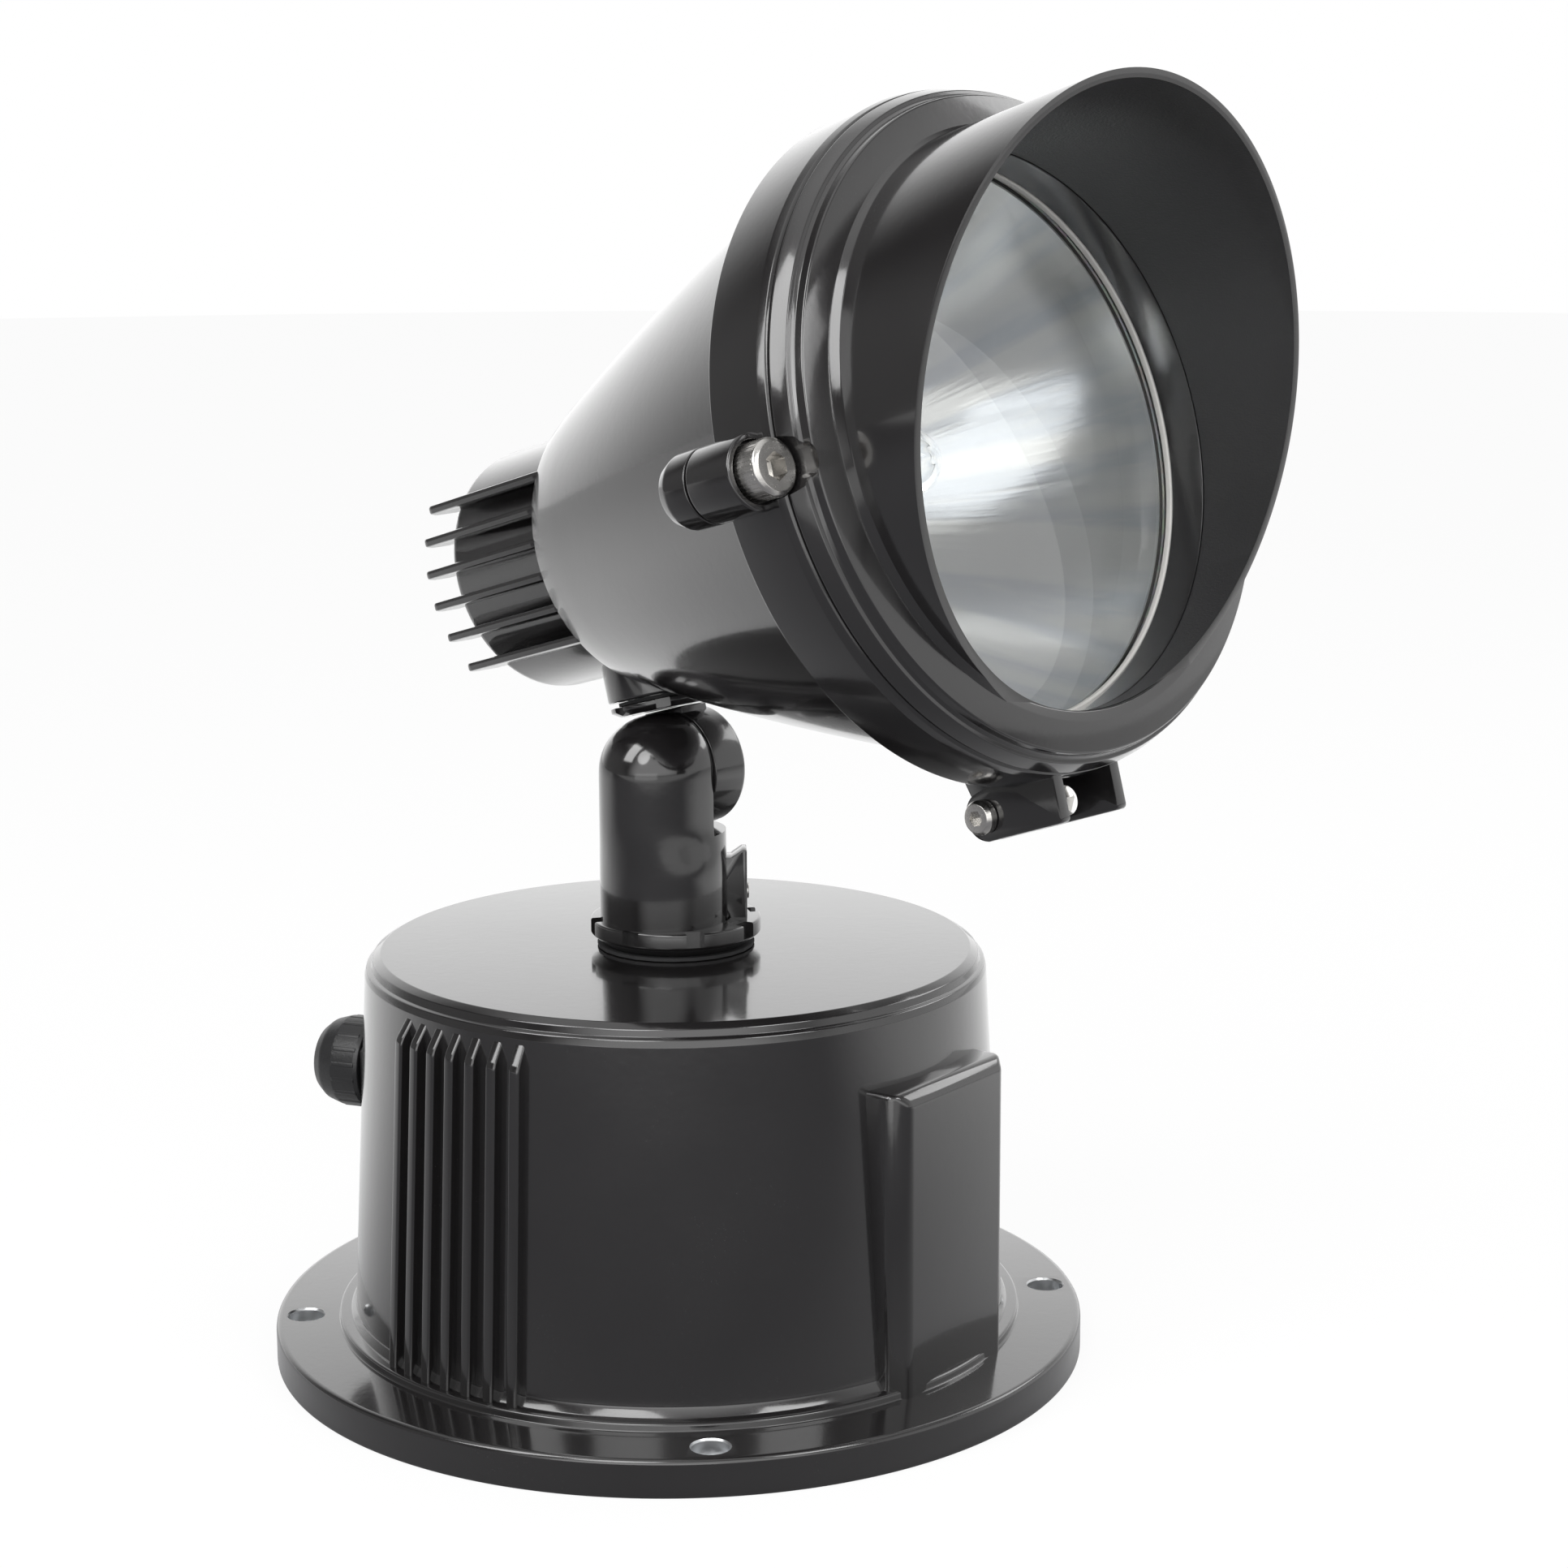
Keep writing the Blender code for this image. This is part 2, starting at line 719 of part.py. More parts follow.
def block(name, centre, size, mat):
    low_z = gear_z()
    bm = bmesh.new()
    add_box(bm, (centre[0] - size[0] / 2, centre[1] - size[1] / 2, low_z),
            (centre[0] + size[0] / 2, centre[1] + size[1] / 2, low_z + size[2]))
    obj = new_object(name, finish_mesh(bm, name), mat)
    bevel = obj.modifiers.new("Rounded edges", "BEVEL")
    bevel.width = 0.0012
    bevel.segments = 2
    return obj


def ignitor_and_terminals():
    block("ignitor", (CAPACITOR_X, IGNITOR_Y), IGNITOR_SIZE, grey_plastic())
    terminals = block("terminal_block", (TERMINAL_X, TRAY_SIDE_Y), TERMINAL_SIZE, nylon())

    def fill(bm):
        for index in (-1, 0, 1):
            place = spot(TERMINAL_X + index * TERMINAL_SIZE[0] / 3, TRAY_SIDE_Y)
            top = gear_z() + TERMINAL_SIZE[2]
            add_turned(bm, rod_outline(top - 0.006, top + 0.001, 0.0026), SMALL_STEPS, place)
    cut_from(terminals, fill)


def earth_stud():
    low = gear_z()
    outline = [(low, 0.0), (low, 0.0045), (low + 0.003, 0.0045), (low + 0.003, EARTH_R),
               (low + EARTH_H - 0.0005, EARTH_R), (low + EARTH_H, EARTH_R - 0.0005),
               (low + EARTH_H, 0.0)]
    turned("earth_stud", outline, brass(), steps=SMALL_STEPS, place=spot(EARTH_X, TRAY_SIDE_Y))


def hexagon(low, high, radius, place):
    def fill(bm):
        add_turned(bm, rod_outline(low, high, radius), 6, place)
    return fill


def hex_nut(name, low, high, bore, across, mat, place):
    """A nut with a round bore; across is the radius to its corners."""
    nut = turned(name, rod_outline(low, high, across), mat, steps=6, place=place)

    def fill(bm):
        add_turned(bm, rod_outline(low - 0.001, high + 0.001, bore), MID_STEPS, place)
    cut_from(nut, fill)
    return nut


def gland():
    out = facing(GLAND_AZ, GLAND_Z)
    place = out @ turn_about("X")
    seat = gland_face() + GAP
    flange = seat + GLAND_FLANGE_T
    nut_low = flange + GAP
    nut_high = nut_low + GLAND_NUT_L
    inner_end = wall_radius(GLAND_Z) - BOX_WALL - 0.009
    thread_end = nut_low + GLAND_NUT_L * 0.4
    body_outline = tube_outline(inner_end, thread_end, GLAND_BORE_R, GLAND_THREAD_R)
    body = turned("gland_body", body_outline, nylon(), steps=MID_STEPS, place=place)

    def hex_flange(bm):
        add_turned(bm, tube_outline(seat, flange, GLAND_THREAD_R - 0.001, GLAND_NUT_R), 6, place)
    add_to(body, hex_flange)
    nut_outline = [
        (nut_low, GLAND_THREAD_R + GAP), (nut_low, GLAND_NUT_R - 0.0006),
        (nut_low + 0.0006, GLAND_NUT_R), (nut_low + GLAND_NUT_L * 0.5, GLAND_NUT_R),
        (nut_low + GLAND_NUT_L * 0.75, GLAND_NUT_R * 0.9),
        (nut_low + GLAND_NUT_L * 0.92, GLAND_NUT_R * 0.72), (nut_high, GLAND_NUT_R * 0.52),
        (nut_high, GLAND_MOUTH_R), (nut_high - 0.004, GLAND_MOUTH_R),
        (thread_end + 0.0025, GLAND_THREAD_R + GAP)]
    turned("gland_nut", nut_outline, nylon(), steps=MID_STEPS, place=place)
    seal_outline = tube_outline(seat, nut_high - 0.0075, GLAND_SEAL_BORE_R, GLAND_BORE_R - GAP)
    turned("gland_seal", seal_outline, rubber(), steps=MID_STEPS, place=place)
    lock_high = math.sqrt((wall_radius(GLAND_Z) - BOX_WALL) ** 2 - GLAND_NUT_R ** 2) - 3 * GAP
    hex_nut("gland_locknut", lock_high - 0.0045, lock_high, GLAND_THREAD_R + GAP, GLAND_NUT_R,
            nylon(), place)


def ring_seat_z():
    return BOX_H + GAP + PAN_SEAL_T + GAP


def post_z():
    return ring_seat_z() + LOCK_RING_H + GAP


def place_on(obj, parent, offset):
    obj.parent = parent
    obj.location = offset


def empty(name, location, parent=None, rotation=(0, 0, 0)):
    obj = bpy.data.objects.new(name, None)
    obj.location = location
    obj.rotation_euler = rotation
    obj.parent = parent
    bpy.context.scene.collection.objects.link(obj)
    return obj


def lower_arm_outline():
    """The bullet-shaped post, spun about its own upright axis."""
    low = post_z()
    shoulder = PIVOT_Z - HALF_DISC_R - 0.005
    dome = [(PIVOT_Z + BULLET_R * math.sin(angle), BULLET_R * math.cos(angle))
            for angle in (math.radians(step) for step in (0, 18, 36, 54, 72))]
    return [(low, 0.0), (low, POST_R), (shoulder, POST_R), (shoulder + 0.0035, BULLET_R), *dome,
            (PIVOT_Z + BULLET_R, 0.0)]


def lower_arm(pan):
    lift = -BOX_H
    post = spot(0, -POST_OFFSET, lift)
    obj = turned("lower_arm", lower_arm_outline(), black_paint(), steps=KNUCKLE_STEPS, place=post)

    def fill_neck(bm):
        seat = ring_seat_z()
        low = BOX_H - STEM_BELOW
        outline = [(low, 0.0), (low, STEM_R), (seat, STEM_R), (seat, NECK_R),
                   (post_z() + 0.004, NECK_R), (post_z() + 0.004, 0.0)]
        add_turned(bm, outline, MID_STEPS, spot(0, 0, lift))

    def fill_lug(bm):
        low = post_z()
        add_box(bm, (0.010, -LOCK_LUG_W / 2, low), (LOCK_LUG_REACH, LOCK_LUG_W / 2, low + LOCK_LUG_H),
                spot(0, 0, lift) @ facing(LOCK_LUG_AZ))

    def fill_far_side(bm):
        low = PIVOT_Z - HALF_DISC_R - GAP
        add_box(bm, (-0.03, -GAP / 2, low), (0.03, 0.03, PIVOT_Z + 0.03), spot(0, 0, lift))

    def fill_bore(bm):
        outline = rod_outline(BOX_H - STEM_BELOW - 0.001, PIVOT_Z - HALF_DISC_R * 0.5, WIRE_BORE_R)
        add_turned(bm, outline, MID_STEPS, spot(0, 0, lift))

    def fill_wire_groove(bm):
        place = spot(0, 0, PIVOT_Z + lift) @ turn_about("Y")
        outline = tube_outline(-0.0045, 0.001, PIVOT_BOLT_R + 0.0025, HALF_DISC_R - 0.0045)
        add_turned(bm, outline, MID_STEPS, place)

    def fill_bolt_hole(bm):
        place = spot(0, 0, PIVOT_Z + lift) @ turn_about("Y")
        add_turned(bm, rod_outline(-PIVOT_BOLT_DEPTH - 0.001, 0.001, PIVOT_BOLT_R + GAP),
                   MID_STEPS, place)

    def fill_lug_hole(bm):
        place = spot(0, 0, lift) @ facing(LOCK_LUG_AZ, post_z() + LOCK_LUG_H * 0.45) @ turn_about("X")
        add_turned(bm, rod_outline(0.0160, 0.03, 0.0025 + GAP), SMALL_STEPS, place)

    add_to(obj, fill_neck)
    add_to(obj, fill_lug)
    cut_from(obj, fill_far_side)
    cut_from(obj, fill_bore)
    cut_from(obj, fill_wire_groove)
    cut_from(obj, fill_bolt_hole)
    cut_from(obj, fill_lug_hole)
    pan_children(pan, obj)


def pan_children(pan, *objects):
    """Hang objects, and the tools of their Booleans, on the pan axis."""
    for obj in objects:
        place_on(obj, pan, (0, 0, 0))
        for mod in obj.modifiers:
            if mod.type == "BOOLEAN":
                place_on(mod.object, pan, (0, 0, 0))


def lock_ring(pan):
    low = ring_seat_z() - BOX_H
    high = low + LOCK_RING_H
    bore = NECK_R + HOLE_GAP
    outline = [(low, bore), (low, LOCK_RING_R - 0.0035), (low + 0.003, LOCK_RING_R),
               (high - 0.0006, LOCK_RING_R), (high, LOCK_RING_R - 0.0006), (high, bore)]
    obj = turned("lower_lock_ring", outline, black_paint(), steps=KNUCKLE_STEPS)

    def fill(bm):
        for index in range(LOCK_NOTCHES):
            place = facing(index * 360 / LOCK_NOTCHES + 14)
            add_box(bm, (LOCK_RING_R - 0.0032, -0.0028, high - 0.0042),
                    (LOCK_RING_R + 0.002, 0.0028, high + 0.001), place)
    cut_from(obj, fill)
    pan_children(pan, obj)


def pan_hardware(pan):
    low = GAP
    seal = turned("pan_seal", tube_outline(low, low + PAN_SEAL_T, STEM_R + RUN / 2, PAN_SEAL_R),
                  rubber(), steps=KNUCKLE_STEPS)
    nut_high = -BOX_TOP_T - GAP
    nut = hex_nut("stem_nut", nut_high - STEM_NUT_T, nut_high, STEM_R + GAP, STEM_NUT_R,
                  zinc_steel(), spot(0, 0))
    head_low = HALF_DISC_T + GAP
    bolt_outline = [(-PIVOT_BOLT_DEPTH, 0.0), (-PIVOT_BOLT_DEPTH, PIVOT_BOLT_R - 0.0006),
                    (-PIVOT_BOLT_DEPTH + 0.0006, PIVOT_BOLT_R), (head_low, PIVOT_BOLT_R),
                    (head_low, PIVOT_HEAD_R), (head_low + PIVOT_HEAD_T * 0.6, PIVOT_HEAD_R),
                    (head_low + PIVOT_HEAD_T, PIVOT_HEAD_R * 0.8), (head_low + PIVOT_HEAD_T, 0.0)]
    place = spot(0, 0, PIVOT_Z - BOX_H) @ turn_about("Y")
    bolt = turned("pivot_bolt", bolt_outline, stainless(), steps=MID_STEPS, place=place)
    cut_from(bolt, hexagon(head_low + 0.001, head_low + PIVOT_HEAD_T + 0.001, 0.0028, place))
    lug_place = facing(LOCK_LUG_AZ, post_z() - BOX_H + LOCK_LUG_H * 0.45) @ turn_about("X")
    screw = turned("pan_lock_screw", rod_outline(0.0164, LOCK_LUG_REACH + 0.0006, 0.0025),
                   stainless(), steps=SMALL_STEPS, place=lug_place)
    pan_children(pan, seal, nut, bolt, screw)


def head_children(head, *objects):
    """Hang objects, modelled in head coordinates, on the tilt axis."""
    for obj in objects:
        offset = (PIVOT_BEHIND, 0, PIVOT_BELOW)
        place_on(obj, head, offset)
        for mod in obj.modifiers:
            if mod.type == "BOOLEAN":
                place_on(mod.object, head, offset)


def arm_place():
    """Upright axis of the upper arm through the pivot, in head coordinates."""
    return spot(-PIVOT_BEHIND, 0, 0)


def pivot_place():
    return spot(-PIVOT_BEHIND, 0, -PIVOT_BELOW) @ turn_about("Y")


def neck_low():
    """Lowest height of the full neck, just clear of the lower arm's dome."""
    return -PIVOT_BELOW + HALF_DISC_R + 0.0005


def upper_arm(head):
    face = GAP / 2
    outline = [(face, 0.0), (face, HALF_DISC_R), (HALF_DISC_T * 0.75, HALF_DISC_R),
               (HALF_DISC_T * 0.93, HALF_DISC_R - 0.0012), (HALF_DISC_T, HALF_DISC_R - 0.004),
               (HALF_DISC_T, 0.0)]
    obj = turned("upper_arm", outline, black_paint(), steps=KNUCKLE_STEPS, place=pivot_place())

    def fill_neck(bm):
        add_turned(bm, rod_outline(neck_low() - GAP, -ARM_NECK_TOP, ARM_NECK_R), MID_STEPS, arm_place())

    def fill_web(bm):
        add_box(bm, (-PIVOT_BEHIND - ARM_NECK_R * 0.95, face, -PIVOT_BELOW + 0.002),
                (-PIVOT_BEHIND + ARM_NECK_R * 0.95, HALF_DISC_T * 0.75, neck_low()))

    def fill_bore(bm):
        outline = rod_outline(-PIVOT_BELOW + 0.007, -ARM_NECK_TOP + 0.001, ARM_BORE_R)
        add_turned(bm, outline, MID_STEPS, arm_place())

    def fill_groove(bm):
        outline = tube_outline(-0.001, 0.0045, PIVOT_BOLT_R + 0.0025, HALF_DISC_R - 0.0045)
        add_turned(bm, outline, MID_STEPS, pivot_place())

    def fill_bolt_hole(bm):
        add_turned(bm, rod_outline(-0.001, HALF_DISC_T + 0.001, PIVOT_BOLT_R + GAP),
                   MID_STEPS, pivot_place())

    add_to(obj, fill_web)
    add_to(obj, fill_neck)
    cut_from(obj, fill_groove)
    cut_from(obj, fill_bolt_hole)
    cut_from(obj, fill_bore)
    head_children(head, obj)


def upper_lock_nut(head):
    seal_low = -ARM_BOSS_FACE - GAP - ARM_SEAL_T
    nut_high = seal_low - GAP
    nut_low = neck_low() + GAP
    outline = [(nut_low, ARM_NECK_R + GAP), (nut_low, UPPER_NUT_LOW_R),
               (nut_high - 0.001, UPPER_NUT_R), (nut_high, UPPER_NUT_R), (nut_high, ARM_NECK_R + GAP)]
    nut = turned("upper_lock_nut", outline, black_paint(), steps=MID_STEPS, place=arm_place())
    seal = turned("arm_seal", tube_outline(seal_low, seal_low + ARM_SEAL_T, ARM_NECK_R + GAP, ARM_SEAL_R),
                  rubber(), steps=MID_STEPS, place=arm_place())
    head_children(head, nut, seal)


def cone_radius(x):
    """Outer radius of the housing's cone, with a slight belly."""
    share = (x - CONE_REAR_X) / (-0.002 - CONE_REAR_X)
    straight = CONE_REAR_R + (CONE_FRONT_R - CONE_REAR_R) * share
    return straight + 0.0017 * math.sin(math.pi * min(max(share, 0.0), 1.0))


def housing_outline():
    outer = [(TAIL_X, 0.0), (TAIL_X, TAIL_R - 0.003), (TAIL_X + 0.0009, TAIL_R - 0.0009),
             (TAIL_X + 0.003, TAIL_R), (CONE_REAR_X - 0.0004, TAIL_R),
             (CONE_REAR_X, CONE_REAR_R - 0.0014), (CONE_REAR_X + 0.0014, CONE_REAR_R)]
    outer += [(x, cone_radius(x)) for x in (-0.105, -0.078, -0.050, -0.024, -0.002)]
    face = [(-0.002, RIM_R), (RIM_X, RIM_R), (RIM_X, SEAL_OUT_R), (RIM_X - SEAL_DEPTH, SEAL_OUT_R),
            (RIM_X - SEAL_DEPTH, SEAL_IN_R), (RIM_X, SEAL_IN_R), (RIM_X, RIM_BORE_R),
            (LEDGE_X, RIM_BORE_R), (LEDGE_X, LEDGE_R), (LEDGE_X - 0.0034, LEDGE_R)]
    inner = [(x, cone_radius(x) - HOUSING_WALL) for x in (-0.020, -0.060, -0.098)]
    back = [(HOLDER_LEDGE_X, cone_radius(HOLDER_LEDGE_X) - HOUSING_WALL),
            (HOLDER_LEDGE_X, TAIL_R - HOUSING_WALL), (TAIL_X + HOUSING_WALL, TAIL_R - HOUSING_WALL),
            (TAIL_X + HOUSING_WALL, 0.0)]
    return outer + face + inner + back


def fin_outline(z):
    """Plan view of one fin on the near side, as (x, -y) points."""
    reach = math.sqrt(FIN_R ** 2 - z ** 2)
    root = math.sqrt((TAIL_R - HOUSING_WALL / 2) ** 2 - z ** 2)
    return [(FIN_REAR_X + 0.0015, reach - 0.006), (FIN_REAR_X, reach - 0.004),
            (FIN_REAR_X + 0.003, reach), (CONE_REAR_X + 0.002, reach),
            (CONE_REAR_X + 0.006, root), (TAIL_X + 0.004, root), (TAIL_X + 0.0015, root - 0.003),
            (FIN_REAR_X + 0.0035, root - 0.003)]


def fill_fins(bm):
    for index in range(FIN_COUNT):
        z = FIN_TOP_Z - index * FIN_PITCH
        for side in (-1, 1):
            flat = Matrix.Translation((0, 0, z)) @ Matrix.Rotation(math.radians(90 * side), 4, "X")
            add_slab(bm, fin_outline(z), -FIN_T / 2, FIN_T / 2, flat)


def clamp_place(side, twist=0.0):
    """Axis of a clamp screw; a twist keeps a cutter's facets off the lug's."""
    turn = Matrix.Rotation(math.radians(twist), 4, "Z")
    return spot(0, side * CLAMP_Y, CLAMP_Z) @ turn_about("X") @ turn


def fill_clamp_bosses(bm):
    front = -GAP
    back = front - BOSS_BACK
    outline = [(front, 0.0), (front, LUG_R), (back, LUG_R), (back - BOSS_DOME * 0.6, LUG_R * 0.8),
               (back - BOSS_DOME * 0.92, LUG_R * 0.45), (back - BOSS_DOME, 0.0)]
    for side in (-1, 1):
        add_turned(bm, outline, MID_STEPS, clamp_place(side))


def fill_clamp_webs(bm):
    inner = cone_radius(-0.014) - HOUSING_WALL / 2
    for side in (-1, 1):
        low_y = min(side * inner, side * CLAMP_Y)
        high_y = max(side * inner, side * CLAMP_Y)
        add_box(bm, (-0.0115, low_y, CLAMP_Z - 0.0078), (WEB_FRONT_X, high_y, CLAMP_Z + 0.0078))


def fill_clamp_threads(bm):
    for side in (-1, 1):
        outline = rod_outline(-CLAMP_REACH - 0.0012, 0.002, CLAMP_HOLE_R)
        add_turned(bm, outline, MID_STEPS, clamp_place(side))


def eye_outline(front, foot, top, back=None):
    """Side view, as (x, z), of a plate that ends in the hinge's eye."""
    arc = [(HINGE_X + EYE_R * math.cos(math.radians(step)), HINGE_Z + EYE_R * math.sin(math.radians(step)))
           for step in (265, 240, 215, 190, 165, 140, 115)]
    tail = [(back, top)] if back is not None else []
    return [(front, top), (front, foot), *arc, *tail]


def fill_hinge_lug(bm):
    low = -EAR_Y + EAR_T / 2 + 0.0004
    outline = [(-0.0015, -0.080), (-0.0015, HINGE_Z)]
    outline += [(HINGE_X + EYE_R * math.cos(math.radians(step)), HINGE_Z + EYE_R * math.sin(math.radians(step)))
                for step in (-10, -35, -60, -90, -120, -145, -170)]
    outline += [(HINGE_X - EYE_R, HINGE_Z + 0.004), (-0.018, -0.084), (-0.018, -0.080)]
    add_slab(bm, outline, low, -low)


def fill_hinge_bore(bm):
    place = spot(HINGE_X, 0, HINGE_Z) @ turn_about("Y")
    add_turned(bm, rod_outline(-0.02, 0.02, HINGE_BOLT_R + GAP), MID_STEPS, place)


def fill_arm_boss(bm):
    outline = [(-ARM_BOSS_FACE, 0.0), (-ARM_BOSS_FACE, ARM_BOSS_R - 0.0008),
               (-ARM_BOSS_FACE + 0.0008, ARM_BOSS_R), (-0.0312, ARM_BOSS_R), (-0.0312, 0.0)]
    add_turned(bm, outline, MID_STEPS, arm_place())


def fill_holder_seat(bm):
    """Clears the arm boss out of the space in front of the holder's ledge."""
    radius = cone_radius(HOLDER_LEDGE_X) - HOUSING_WALL - 2 * GAP
    add_turned(bm, rod_outline(HOLDER_LEDGE_X, -0.108, radius), MID_STEPS * 2, turn_about("X"))


def fill_arm_hole(bm):
    twist = Matrix.Rotation(math.radians(7), 4, "Z")
    add_turned(bm, rod_outline(-0.05, -0.02, ARM_NECK_R + 2 * GAP), MID_STEPS, arm_place() @ twist)


def fill_holder_screw_holes(bm):
    for side in (-1, 1):
        place = spot(0, side * HOLDER_SCREW_RING) @ turn_about("X")
        outline = rod_outline(HOLDER_LEDGE_X - 0.005, HOLDER_LEDGE_X + 0.004, STUD_R + GAP)
        add_turned(bm, outline, SMALL_STEPS, place)


def lamp_housing(head):
    obj = turned("lamp_housing", housing_outline(), black_paint(), axis="X")
    add_to(obj, fill_fins)
    add_to(obj, fill_clamp_bosses)
    add_to(obj, fill_clamp_webs)
    add_to(obj, fill_hinge_lug)
    add_to(obj, fill_arm_boss)
    cut_from(obj, fill_clamp_threads)
    cut_from(obj, fill_hinge_bore)
    cut_from(obj, fill_holder_seat)
    cut_from(obj, fill_arm_hole)
    cut_from(obj, fill_holder_screw_holes)
    head_children(head, obj)


def front_gasket(head):
    low = RIM_X - SEAL_DEPTH + GAP
    outline = tube_outline(low, RIM_X, SEAL_IN_R + GAP, SEAL_OUT_R - GAP)
    head_children(head, turned("front_gasket", outline, silicone(), axis="X"))


def reflector_outline():
    front = LEDGE_X + GAP + REFLECTOR_T
    apex = front - 0.0005 - REFLECTOR_RIM_R ** 2 / (4 * PARABOLA_F)
    radii = [REFLECTOR_RIM_R + (REFLECTOR_NECK_R - REFLECTOR_RIM_R) * step / 5 for step in range(6)]
    bowl = [(apex + radius ** 2 / (4 * PARABOLA_F), radius) for radius in radii]
    shell = [(x - 0.9 * REFLECTOR_T, radius + 0.5 * REFLECTOR_T) for x, radius in reversed(bowl)]
    back = reflector_back_x()
    neck = [(back + REFLECTOR_T, REFLECTOR_NECK_R), (back + REFLECTOR_T, REFLECTOR_FLANGE_IN_R),
            (back, REFLECTOR_FLANGE_IN_R), (back, REFLECTOR_BACK_R), (back + REFLECTOR_T, REFLECTOR_BACK_R),
            (back + REFLECTOR_T, REFLECTOR_NECK_R + REFLECTOR_T)]
    return [(front, REFLECTOR_RIM_R), *bowl, *neck, *shell,
            (front - REFLECTOR_T, REFLECTOR_RIM_R + REFLECTOR_T),
            (front - REFLECTOR_T, REFLECTOR_FLANGE_R), (front, REFLECTOR_FLANGE_R)]


def reflector_back_x():
    apex = LEDGE_X + GAP + REFLECTOR_T - 0.0005 - REFLECTOR_RIM_R ** 2 / (4 * PARABOLA_F)
    return apex + REFLECTOR_NECK_R ** 2 / (4 * PARABOLA_F) - 0.0035


def pillar_place(index):
    angle = math.radians(PILLAR_AZ + 120 * index)
    return spot(0, PILLAR_RING * math.cos(angle), PILLAR_RING * math.sin(angle)) @ turn_about("X")


def holder_plate_front():
    return HOLDER_LEDGE_X + GAP + HOLDER_PLATE_T


def fill_pillar_holes(bm):
    for index in range(3):
        outline = rod_outline(HOLDER_LEDGE_X - 0.001, holder_plate_front() + 0.001, STUD_R + GAP)
        add_turned(bm, outline, SMALL_STEPS, pillar_place(index))


def fill_reflector_holes(bm):
    back = reflector_back_x()
    for index in range(3):
        outline = rod_outline(back - 0.0006, back + REFLECTOR_T + 0.0006, STUD_R + GAP)
        add_turned(bm, outline, SMALL_STEPS, pillar_place(index))


def optics(head):
    reflector = turned("reflector", reflector_outline(), polished(), axis="X", steps=OPTIC_STEPS)
    cut_from(reflector, fill_reflector_holes)
    plate_low = HOLDER_LEDGE_X + GAP
    plate_outline = tube_outline(plate_low, holder_plate_front(), 0.005, HOLDER_PLATE_R)
    plate = turned("holder_plate", plate_outline, zinc_steel(), axis="X", steps=OPTIC_STEPS)
    cut_from(plate, fill_pillar_holes)
    cut_from(plate, fill_holder_screw_holes)
    head_children(head, reflector, plate)
    seat = holder_plate_front() + GAP
    for index in range(3):
        shoulder = reflector_back_x() - GAP
        outline = [(plate_low - 0.002, 0.0), (plate_low - 0.002, STUD_R), (seat, STUD_R),
                   (seat, PILLAR_R), (shoulder, PILLAR_R), (shoulder, STUD_R),
                   (shoulder + REFLECTOR_T + 0.0012, STUD_R), (shoulder + REFLECTOR_T + 0.0012, 0.0)]
        head_children(head, turned(f"reflector_pillar_{index + 1}", outline, zinc_steel(),
                                   steps=SMALL_STEPS, place=pillar_place(index)))
    for index, side in enumerate((-1, 1)):
        outline = [(HOLDER_LEDGE_X - 0.0045, 0.0), (HOLDER_LEDGE_X - 0.0045, STUD_R), (seat, STUD_R),
                   (seat, 0.0028), (seat + 0.002, 0.0024), (seat + 0.002, 0.0)]
        head_children(head, turned(f"holder_screw_{index + 1}", outline, stainless(),
                                   steps=SMALL_STEPS,
                                   place=spot(0, side * HOLDER_SCREW_RING) @ turn_about("X")))


def lamp_and_holder(head):
    low = holder_plate_front() + GAP
    socket = HOLDER_FRONT_X - 0.003
    outline = [(low, 0.0), (low, HOLDER_R), (HOLDER_FRONT_X, HOLDER_R),
               (HOLDER_FRONT_X, LAMP_BASE_R + RUN), (socket, LAMP_BASE_R + RUN), (socket, 0.0)]
    holder = turned("lampholder", outline, ceramic(), axis="X", steps=MID_STEPS)
    base_low = socket + GAP
    tip = LAMP_TIP_X
    lamp_outline = [(base_low, 0.0), (base_low, LAMP_BASE_R), (LAMP_BASE_FRONT_X - 0.001, LAMP_BASE_R),
                    (LAMP_BASE_FRONT_X, LAMP_BASE_R - 0.001), (LAMP_BASE_FRONT_X, LAMP_BULB_R),
                    (tip - LAMP_BULB_R, LAMP_BULB_R), (tip - LAMP_BULB_R * 0.5, LAMP_BULB_R * 0.87),
                    (tip - LAMP_BULB_R * 0.13, LAMP_BULB_R * 0.5), (tip, 0.0)]
    lamp = turned("discharge_lamp", lamp_outline, clear_glass(), axis="X", steps=MID_STEPS)
    head_children(head, holder, lamp)


def hinge_bolt(head):
    place = spot(HINGE_X, 0, HINGE_Z) @ turn_about("Y")
    outer = EAR_Y + EAR_T / 2 + GAP
    nut_t = 0.0036
    outline = [(-outer - HINGE_HEAD_T, 0.0), (-outer - HINGE_HEAD_T, HINGE_HEAD_R * 0.8),
               (-outer - HINGE_HEAD_T * 0.7, HINGE_HEAD_R), (-outer, HINGE_HEAD_R),
               (-outer, HINGE_BOLT_R), (outer + nut_t + 0.0005, HINGE_BOLT_R),
               (outer + nut_t + 0.0005, 0.0)]
    bolt = turned("hinge_bolt", outline, stainless(), steps=MID_STEPS, place=place)
    cut_from(bolt, hexagon(-outer - HINGE_HEAD_T - 0.001, -outer - 0.0012, 0.0023, place))
    nut = hex_nut("hinge_nut", outer, outer + nut_t, HINGE_BOLT_R + GAP, 0.0058, stainless(), place)
    head_children(head, bolt, nut)


def door_children(door, *objects):
    for obj in objects:
        offset = (-HINGE_X, 0, -HINGE_Z)
        place_on(obj, door, offset)
        for mod in obj.modifiers:
            if mod.type == "BOOLEAN":
                place_on(mod.object, door, offset)


def snap_groove_low():
    return glass_low() - GAP - SNAP_T - GAP


